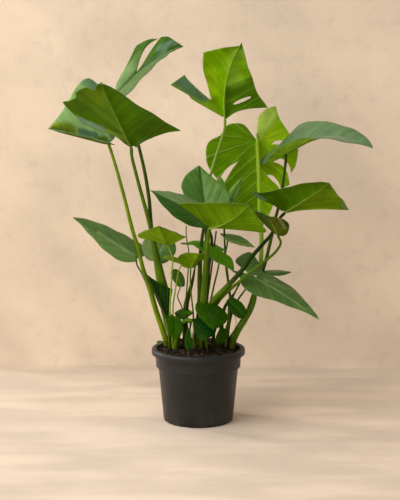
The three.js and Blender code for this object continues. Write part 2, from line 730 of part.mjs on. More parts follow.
// A stalk: the leaf that it carries, its foot on the crown, the points that it passes on the way
// up, and its radius at the foot, a third of the way up and at the leaf.
const STALKS = [
  { clump: 'stalks_left_back', leaf: 'leaf_far_left', radius: [3.6, 3.2, 2.6], foot: [-61, 38],
    via: [[-79, 38, 177], [-90, 30, 217], [-101, 18, 271], [-112, 6, 311], [-121, -2, 354],
      [-131, -4, 387], [-147, 4, 450], [-171, 16, 535]] },
  { clump: 'stalks_left_back', leaf: 'leaf_low_left', radius: [3, 2.4, 1.6], foot: [-58, 34],
    via: [[-83, 44, 229], [-101, 36, 272], [-117, 26, 300], [-125, 18, 318]] },
  { clump: 'stalks_left_back', leaf: 'leaf_seedling', radius: [1.4, 1.1, 0.9], foot: [-63, 30],
    via: [[-68, 18, 158]] },
  { clump: 'stalks_left', leaf: 'leaf_big_left', radius: [6, 6.5, 3], foot: [-47, 4],
    via: [[-64, 2, 206], [-71, -6, 259], [-81, -12, 307], [-90, -18, 358], [-97, -22, 403],
      [-109, -28, 453], [-124, -36, 513], [-130, -40, 541]] },
  { clump: 'stalks_left', leaf: 'leaf_top_left', radius: [5, 4.5, 2.6], foot: [-48, 10],
    via: [[-62, 8, 204], [-69, 0, 257], [-79, -6, 306], [-89, -12, 357], [-94, -16, 402],
      [-99, -12, 462], [-118, 0, 556], [-138, 8, 619]] },
  { clump: 'stalks_left', leaf: 'leaf_small_dark', radius: [2.4, 2, 1.6], foot: [-50, 17],
    via: [[-56, 22, 191], [-68, 22, 253], [-78, 16, 302]] },
  { clump: 'stalks_left', leaf: 'leaf_small_bright', radius: [2.2, 1.8, 1.4], foot: [-51, -4],
    via: [[-57, -24, 219], [-54, -38, 281], [-52, -42, 315], [-51, -42, 341]] },
  { clump: 'stalks_left', leaf: 'leaf_olive_small', radius: [2, 1.6, 1.2], foot: [-46, -6],
    via: [[-51, -24, 231], [-44, -30, 283], [-38, -33, 314]] },
  { clump: 'stalks_left', leaf: 'leaf_hanging_left', radius: [3, 2.4, 2], foot: [-58, 2],
    via: [[-61, -14, 192]] },
  { clump: 'stalks_left', leaf: 'leaf_ground_dark', radius: [2, 1.6, 1.4], foot: [-40, 16],
    via: [[-38, 10, 185]] },
  { clump: 'stalks_left', leaf: 'leaf_ground_left', radius: [3, 2.4, 1.8], foot: [-42, 0],
    via: [[-44, -14, 185]] },
  { clump: 'stalks_left', leaf: 'leaf_ground_front', radius: [3.6, 3, 2], foot: [-46, -6],
    via: [[-42, -16, 172], [-37, -24, 196], [-24, -31, 211]] },
  { clump: 'stalks_centre', leaf: 'leaf_centre_front', radius: [5, 4.5, 3], foot: [2, 16],
    via: [[9, -14, 229], [12, -28, 283], [15, -40, 335], [19, -54, 377]] },
  { clump: 'stalks_centre', leaf: 'leaf_centre_left', radius: [4.5, 4, 2.6], foot: [-4, 20],
    via: [[3, 4, 236], [3, -10, 310], [7, -26, 373]] },
  { clump: 'stalks_centre', leaf: 'leaf_centre_upright', radius: [4.5, 4, 2.6], foot: [8, 22],
    via: [[16, 10, 246], [20, 6, 308], [27, -2, 370]] },
  { clump: 'stalks_centre', leaf: 'leaf_top_middle', radius: [5, 4.5, 3], foot: [10, 34],
    via: [[16, 26, 242], [18, 28, 321], [18, 34, 386], [20, 42, 446], [30, 44, 497], [48, 32, 558],
      [54, 12, 595]] },
  { clump: 'stalks_centre', leaf: 'leaf_olive', radius: [2.2, 1.8, 1.4], foot: [-12, 14],
    via: [[-10, 4, 209], [-15, -4, 268], [-16, -8, 298]] },
  { clump: 'stalks_centre', leaf: 'leaf_arching_small', radius: [2.6, 2.2, 1.6], foot: [14, 22],
    via: [[20, 14, 214], [32, 8, 277], [42, 2, 325]] },
  { clump: 'stalks_centre', leaf: 'leaf_right', radius: [6, 5, 3], foot: [2, 8],
    via: [[9, 0, 196], [26, -14, 242], [60, -36, 284], [84, -48, 313], [107, -36, 342],
      [127, -20, 362], [146, -6, 382], [163, -18, 417]] },
  { clump: 'stalks_centre', leaf: 'leaf_folded_right', radius: [4.5, 4, 2.4], foot: [12, 12],
    via: [[24, 4, 209], [38, -12, 243], [61, -32, 273], [83, -48, 294], [102, -56, 313],
      [141, -44, 341], [156, -38, 355], [163, -35, 370]] },
  { clump: 'stalks_centre', leaf: 'leaf_round_left', radius: [1.8, 1.4, 1.1], foot: [-16, 12],
    via: [[-27, 26, 184], [-34, 26, 228], [-42, 12, 251], [-39, -6, 267]] },
  { clump: 'stalks_centre', leaf: 'leaf_ground_broad', radius: [3, 2.4, 1.8], foot: [16, 12],
    via: [[14, -20, 200]] },
  { clump: 'stalks_centre', leaf: 'leaf_ground_tip', radius: [2, 1.6, 1.2], foot: [-10, -2],
    via: [[-14, -30, 186]] },
  { clump: 'stalks_right', leaf: 'leaf_hanging_back', radius: [5, 4.5, 3.2], foot: [58, 39],
    via: [[86, 46, 197], [107, 46, 243], [125, 44, 302], [129, 42, 364], [126, 42, 418],
      [124, 44, 475], [122, 48, 517]] },
  { clump: 'stalks_right', leaf: 'leaf_arching_right', radius: [4.5, 4, 2.6], foot: [56, 36],
    via: [[82, 34, 203], [106, 30, 252], [132, 26, 309], [147, 22, 367], [156, 20, 412],
      [163, 18, 440], [172, 14, 497]] },
  { clump: 'stalks_right', leaf: 'leaf_low_right', radius: [6.5, 6, 4], foot: [58, 31],
    via: [[73, 20, 177], [93, 4, 205], [106, -6, 232], [113, -12, 258], [113, -13, 282]] },
  { clump: 'stalks_right', leaf: 'leaf_centre_back', radius: [3.2, 2.6, 1.8], foot: [50, 38],
    via: [[67, 32, 220], [63, 32, 266], [56, 32, 324], [53, 28, 376]] },
  { clump: 'stalks_right', leaf: 'leaf_thin_right', radius: [2.4, 2, 1.4], foot: [60, 30],
    via: [[91, 26, 226], [113, 18, 265], [129, 12, 290]] },
  { clump: 'stalks_right', leaf: 'leaf_narrow_back', radius: [3, 2, 1.4], foot: [50, 36],
    via: [[66, 30, 221], [62, 28, 267], [55, 24, 335], [58, 20, 355]] },
  { clump: 'stalks_right', leaf: 'leaf_ground_right', radius: [3, 2.4, 1.8], foot: [56, 26],
    via: [[61, 2, 200]] },
  { clump: 'stalks_right', leaf: 'leaf_ground_short', radius: [2.4, 2, 1.6], foot: [50, 28],
    via: [[50, 4, 176]] },
];

// The crown: an oval stump that holds the feet of its stalks and rises just out of the soil.
function crownGeometry({ centre, half }, extra) {
  const bottom = SOIL_TOP - CROWN_FOOT - extra;
  const stump = lathe([
    [0, bottom],
    [1, bottom],
    [1, SOIL_TOP],
    [0.7, SOIL_TOP + 0.7 * CROWN_HEIGHT],
    [0, SOIL_TOP + CROWN_HEIGHT],
  ], CROWN_SIDES);
  return stump.scale(half[0] + extra, half[1] + extra, 1).translate(...centre, 0);
}

// A round tube of changing radius along a smooth curve.
function stalkGeometry(stalk, extra) {
  const end = LEAVES.find((leaf) => leaf.name === stalk.leaf).joint;
  const foot = [...stalk.foot, SOIL_TOP - STALK_FOOT - extra];
  const surface = [...stalk.foot, SOIL_TOP];
  const points = [foot, surface, ...stalk.via, end].map(vector);
  const curve = new THREE.CatmullRomCurve3(points, false, 'centripetal');
  const steps = Math.max(4, Math.round(curve.getLength() / STALK_STEP));
  const frames = curve.computeFrenetFrames(steps, false);
  const [wide, middle, thin] = stalk.radius;
  const position = [];
  for (let step = 0; step <= steps; step += 1) {
    const way = (3 * step) / steps;
    const radius = way < 1
      ? THREE.MathUtils.lerp(wide, middle, way)
      : THREE.MathUtils.lerp(middle, thin, (way - 1) / 2);
    const centre = curve.getPointAt(step / steps);
    for (let side = 0; side < STALK_SIDES; side += 1) {
      const angle = (side / STALK_SIDES) * 2 * Math.PI;
      const point = centre.clone()
        .addScaledVector(frames.normals[step], (radius + extra) * Math.cos(angle))
        .addScaledVector(frames.binormals[step], (radius + extra) * Math.sin(angle));
      position.push(point.x, point.y, point.z);
    }
  }
  const index = [];
  for (let step = 0; step < steps; step += 1) {
    for (let side = 0; side < STALK_SIDES; side += 1) {
      const a = step * STALK_SIDES + side;
      const b = step * STALK_SIDES + ((side + 1) % STALK_SIDES);
      index.push(a, b, b + STALK_SIDES, a, b + STALK_SIDES, a + STALK_SIDES);
    }
  }
  const last = steps * STALK_SIDES;
  for (let side = 1; side + 1 < STALK_SIDES; side += 1) {
    index.push(0, side + 1, side, last, last + side, last + side + 1);
  }
  return meshed(position, index);
}

// The room that a stalk leaves under its blade: the blade thicker, with the notch at the joint
// filled, so that the stalk ends flush under it.
const NOTCH = [[-0.3, 0, 1], [-0.3, 0.3, 1], [0.3, 0.3, 1]];

function clearanceOf(leaf) {
  const filled = {
    ...leaf,
    left: { ...leaf.left, margin: NOTCH },
    right: { ...leaf.right, margin: NOTCH },
  };
  const room = BLADE + 3 * GAP;
  return solid(bladeGeometry(leaf, room)).add(solid(bladeGeometry(filled, room)));
}

const group = new THREE.Group();
group.add(pot());

const stalks = new THREE.Group();
Object.entries(CLUMPS).forEach(([name, crown]) => {
  const members = STALKS.filter((stalk) => stalk.clump === name);
  const carried = LEAVES.filter((leaf) => members.some((stalk) => stalk.leaf === leaf.name));
  const stump = solid(crownGeometry(crown, 0));
  const grown = members.reduce((whole, stalk) => whole.add(solid(stalkGeometry(stalk, 0))), stump);
  const trimmed = carried.reduce((whole, leaf) => whole.subtract(clearanceOf(leaf)), grown);
  stalks.add(named(name, geometryOf(largest(trimmed)), COLOUR.stalk, 0.6));
});
group.add(stalks);

group.add(soil(Object.values(CLUMPS).map((crown) => solid(crownGeometry(crown, GAP)))));

// Each blade is placed by its joint, as it hangs on its stalk.
const leaves = new THREE.Group();
LEAVES.forEach((leaf) => {
  const joint = vector(leaf.joint);
  const blade = geometryOf(solid(bladeGeometry(leaf, BLADE))).translate(...joint.clone().negate());
  const mesh = named(leaf.name, blade, COLOUR[leaf.colour], 0.5);
  mesh.position.copy(joint);
  leaves.add(mesh);
});
group.add(leaves);

export default group;
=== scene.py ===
import json
import math
import random

import bmesh
import bpy
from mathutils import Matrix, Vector, geometry, kdtree, noise


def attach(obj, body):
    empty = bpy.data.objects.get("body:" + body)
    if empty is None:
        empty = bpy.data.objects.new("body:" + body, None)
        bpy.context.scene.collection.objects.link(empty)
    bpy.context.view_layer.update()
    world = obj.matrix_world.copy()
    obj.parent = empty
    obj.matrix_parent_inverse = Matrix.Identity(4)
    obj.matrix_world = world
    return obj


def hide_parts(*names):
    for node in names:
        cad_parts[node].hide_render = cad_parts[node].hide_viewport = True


# A potted monstera: leaves in two faces each, their stalks, potting soil with bark, a nursery pot.
# Blender works in metres. The places of leaves and stalks are in millimetres, times mm.
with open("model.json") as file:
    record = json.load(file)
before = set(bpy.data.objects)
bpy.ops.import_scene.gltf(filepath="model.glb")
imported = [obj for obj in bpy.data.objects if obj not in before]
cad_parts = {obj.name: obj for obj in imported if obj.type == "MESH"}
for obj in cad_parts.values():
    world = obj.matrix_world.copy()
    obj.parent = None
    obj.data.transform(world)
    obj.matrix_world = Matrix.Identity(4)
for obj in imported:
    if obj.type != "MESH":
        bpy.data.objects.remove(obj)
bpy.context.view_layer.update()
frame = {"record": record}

mm = 0.001
screenGamma = 2.2
slotOf = {row["node"]: row["material_slot"] for row in frame["record"]["subparts"]}


def plainName(node):
    return node.removeprefix("leaf_")


def select(*pieces):
    bpy.ops.object.select_all(action="DESELECT")
    for piece in pieces:
        piece.select_set(True)
    bpy.context.view_layer.objects.active = pieces[0]


def joined(pieces, name):
    select(*pieces)
    if len(pieces) > 1:
        bpy.ops.object.join()
    pieces[0].name = pieces[0].data.name = name
    return pieces[0]


def settle(piece, slot, *nodes):
    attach(piece, "root")
    if nodes:
        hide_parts(*nodes)


def applyModifier(piece, kind, **settings):
    select(piece)
    bpy.ops.object.modifier_add(type=kind)
    modifier = piece.modifiers[-1]
    for name, value in settings.items():
        setattr(modifier, name, value)
    bpy.ops.object.modifier_apply(modifier=modifier.name)


def linear(red, green, blue):
    # screen colour, 0 to 255, to the shader's own scale
    return tuple((channel / 255) ** screenGamma for channel in (red, green, blue)) + (1,)


def feed(tree, socket, value):
    if isinstance(value, bpy.types.NodeSocket):
        tree.links.new(value, socket)
    else:
        socket.default_value = value


def addNode(tree, kind, inputs=None, **settings):
    node = tree.nodes.new("ShaderNode" + kind)
    for name, value in settings.items():
        setattr(node, name, value)
    for name, value in (inputs or {}).items():
        feed(tree, node.inputs[name], value)
    return node


def calc(tree, operation, *values):
    node = addNode(tree, "Math", operation=operation)
    for socket, value in zip(node.inputs, values):
        feed(tree, socket, value)
    return node.outputs[0]


def ramp(tree, value, start, end, low=0.0, high=1.0):
    # low where value is start, high where it is end, smooth between
    inputs = {"Value": value, "From Min": start, "From Max": end, "To Min": low, "To Max": high}
    return addNode(tree, "MapRange", inputs, interpolation_type="SMOOTHSTEP").outputs[0]


def mixColour(tree, factor, first, second, blend="MIX"):
    node = addNode(tree, "Mix", data_type="RGBA", blend_type=blend)
    feed(tree, node.inputs[0], factor)
    feed(tree, node.inputs[6], first)
    feed(tree, node.inputs[7], second)
    return node.outputs[2]


def shaded(tree, colour, share):
    return mixColour(tree, 1.0, colour, share, "MULTIPLY")


def clouds(tree, coords, scale, detail=3.0, roughness=0.55):
    inputs = {"Vector": coords, "Scale": scale, "Detail": detail, "Roughness": roughness}
    return addNode(tree, "TexNoise", inputs).outputs["Fac"]


def stretched(tree, coords, scale):
    return addNode(tree, "Mapping", {"Vector": coords, "Scale": scale}).outputs[0]


def heightOf(tree, coords):
    return addNode(tree, "SeparateXYZ", {"Vector": coords}).outputs["Z"]


def startMaterial(name, sockets):
    material = bpy.data.materials.new(name)
    material.use_nodes = True
    tree = material.node_tree
    shader = tree.nodes["Principled BSDF"]
    for socket, value in sockets.items():
        shader.inputs[socket].default_value = value
    coords = addNode(tree, "TexCoord").outputs["Object"]
    return material, tree, shader, coords


def bumped(tree, shader, height, strength, distance):
    # the distance is in millimetres
    inputs = {"Height": height, "Strength": strength, "Distance": distance * mm}
    feed(tree, shader.inputs["Normal"], addNode(tree, "Bump", inputs).outputs[0])


skins = {
    "ribAtJoint": 0.016,  # half width of the midrib, in decimetres as the blade map has it
    "ribAtTip": 0.004,
    "sideVein": 0.07,  # half width of a side vein, as a share of the way between two
    "stray": 0.16,  # how far side veins stray, as a share of the same
    "fineVeins": 4,  # fine veins to each side vein
    "fineVein": 0.35,  # half width of a fine vein, as a share of the way between two
    "fineShow": 0.05,
    "mottle": (0.84, 1.14),  # how dark and how light the mottling is
    "paintedPleatShade": (0.88, 1.12),  # how dark and how light each strip between two side veins is painted, as painted shade and light on the pleats
    "rim": 0.975,  # from here to the margin, at 1, the leaf is paler
    "rimShow": 0.2,
    "worn": (-0.07, 0.09),  # how far the roughness goes down and up in patches
    "pores": 0.2,
    "relief": 0.7,  # height of rib and veins in millimetres
    "top": {"paint": "topPaint", "roughness": 0.42, "groove": -1.0, "vein": 0.08, "rib": 0.3,
            "shine": 0.3, "tint": (1.0, 1.0, 1.0, 1), "strength": 0.4, "glow": 0.05},
    "under": {"paint": "underPaint", "roughness": 0.6, "groove": 1.0, "vein": 0.07, "rib": 0.45,
              "shine": 0.1, "tint": (0.8, 1.0, 0.25, 1), "strength": 0.35, "glow": 0.12},
}


def leafSkin(name, face, veinColour, veinShow, shine):
    look = skins[face]
    material, tree, shader, coords = startMaterial(name, {
        "Subsurface Weight": look["glow"],
        "Subsurface Radius": (0.5, 1.0, 0.1),
        "Subsurface Scale": 0.0015,
        "Specular IOR Level": look["shine"] * shine,
        "Specular Tint": look["tint"],
    })
    blade, form = (addNode(tree, "SeparateXYZ", {"Vector": addNode(tree, "UVMap", uv_map=layer).outputs[0]})
                   for layer in ("blade", "form"))
    pale = linear(*veinColour)
    drift = calc(tree, "MULTIPLY_ADD", clouds(tree, coords, 45, 2), skins["stray"], -skins["stray"] / 2)
    way = calc(tree, "ADD", blade.outputs["X"], drift)
    sideVeins = ramp(tree, calc(tree, "PINGPONG", way, 0.5), 0.0, skins["sideVein"], 1.0, 0.0)
    fineWay = calc(tree, "MULTIPLY", way, skins["fineVeins"])
    fineVeins = ramp(tree, calc(tree, "PINGPONG", fineWay, 0.5), 0.0, skins["fineVein"], 1.0, 0.0)
    ribWidth = ramp(tree, form.outputs["X"], 0.0, 1.0, skins["ribAtJoint"], skins["ribAtTip"])
    rib = ramp(tree, calc(tree, "DIVIDE", blade.outputs["Y"], ribWidth), 0.5, 1.4, 1.0, 0.0)
    # the face's colours: each half's colour and its marks, which hold painted sheen, painted glow through
    # the blade and painted shade
    colour = addNode(tree, "VertexColor", layer_name=look["paint"]).outputs["Color"]
    mottle = ramp(tree, clouds(tree, coords, 26, 5, 0.62), 0.32, 0.7, *skins["mottle"])
    line = addNode(tree, "CombineXYZ", {"X": way}).outputs[0]
    # painted shade and light on the pleats between the side veins, by chance for each strip
    paintedPleatShade = ramp(tree, clouds(tree, line, 1.7, 1), 0.35, 0.65, *skins["paintedPleatShade"])
    colour = shaded(tree, shaded(tree, colour, mottle), paintedPleatShade)
    colour = mixColour(tree, calc(tree, "MULTIPLY", fineVeins, skins["fineShow"]), colour, pale)
    veins = calc(tree, "MAXIMUM", calc(tree, "MULTIPLY", sideVeins, look["vein"] * veinShow),
                 calc(tree, "MULTIPLY", rib, look["rib"]))
    colour = mixColour(tree, veins, colour, pale)
    toMargin = calc(tree, "ABSOLUTE", form.outputs["Y"])
    colour = mixColour(tree, ramp(tree, toMargin, skins["rim"], 1.0, 0.0, skins["rimShow"]), colour, pale)
    feed(tree, shader.inputs["Base Color"], colour)
    smooth, worn = (look["roughness"] + change for change in skins["worn"])
    feed(tree, shader.inputs["Roughness"], ramp(tree, clouds(tree, coords, 60, 4), 0.3, 0.7, smooth, worn))
    pores = calc(tree, "MULTIPLY", clouds(tree, coords, 900, 2), skins["pores"])
    relief = calc(tree, "MULTIPLY", calc(tree, "MAXIMUM", sideVeins, rib), 0.6 * look["groove"])
    relief = calc(tree, "MULTIPLY_ADD", fineVeins, 0.14 * look["groove"], relief)
    bumped(tree, shader, calc(tree, "ADD", relief, pores), look["strength"], skins["relief"])
    return material


def ribSkin(name, colour):
    material, tree, shader, coords = startMaterial(name, {"Roughness": 0.5, "Specular IOR Level": 0.25})
    streaks = ramp(tree, clouds(tree, coords, 90), 0.3, 0.7, 0.85, 1.15)
    feed(tree, shader.inputs["Base Color"], shaded(tree, linear(*colour), streaks))
    return material


# Half a heart-shaped margin as (along, across), in hundredths: along runs from the stalk, 0, to the
# tip, 100, and across is 100 at the half's widest reach. A third entry marks a corner.
heart = [(-9, 5, 1), (-21, 33), (-18, 70), (10, 100), (42, 86), (74, 42), (90, 13)]
rounded = [(-10, 10, 1), (-16, 60), (15, 100), (55, 85), (85, 40)]

# What all blades share, with lengths in millimetres.
bladeForm = {
    "widest": 0.15,  # where along the midrib a half's reach is measured
    "veinSlope": 0.42,  # how far a side vein leans to the tip
    "veinCurve": 1.12,  # above 1, a side vein bends to the tip on its way out
    "veinFan": 0.3,  # how close the veins behind the joint stand
    "veinStep": 30,  # millimetres of midrib between two side veins
    "fewestVeins": 3,
    "grid": 3.0,  # millimetres between the points of a large blade's mesh
    "finest": 1.1,  # the same in a small blade
    "gridSteps": 34,  # and how many there are along the blades in between
    "gridRow": 0.87,  # steps between two rows of points
    "grooveRows": (0.55, 1.3),  # steps from the midrib to two extra rows, for its groove
    "clearOfRib": 1.9,  # steps beside the midrib without other points
    "clearOfMargin": 0.6,  # the same beside the margin
    "holeSides": 20,
    "thickness": 0.65,
    "fullRelief": 120,  # leaves shorter than this are flatter
    "bulge": 0.045,  # how far a half arches up between midrib and margin, as a share of its reach
    "quilt": 0.8,  # depth of the valley over a side vein
    "quiltPower": 0.7,  # below 1, the valley is sharper than the ridge
    "keel": 1.0,  # depth of the groove along the midrib
    "keelWidth": 2.2,
    "wavePhase": 6,  # the largest start of the margin's waves, drawn for each half
    "wave": 0.006,  # how far the margin waves, as a share of the leaf's length
    "waves": 3.2,
    "ribEnd": 0.9,  # where along the leaf the midrib stops standing out underneath
    "ribShare": 0.62,  # its radius at the joint, as a share of the stalk's
    "ribLeast": 0.35,
}
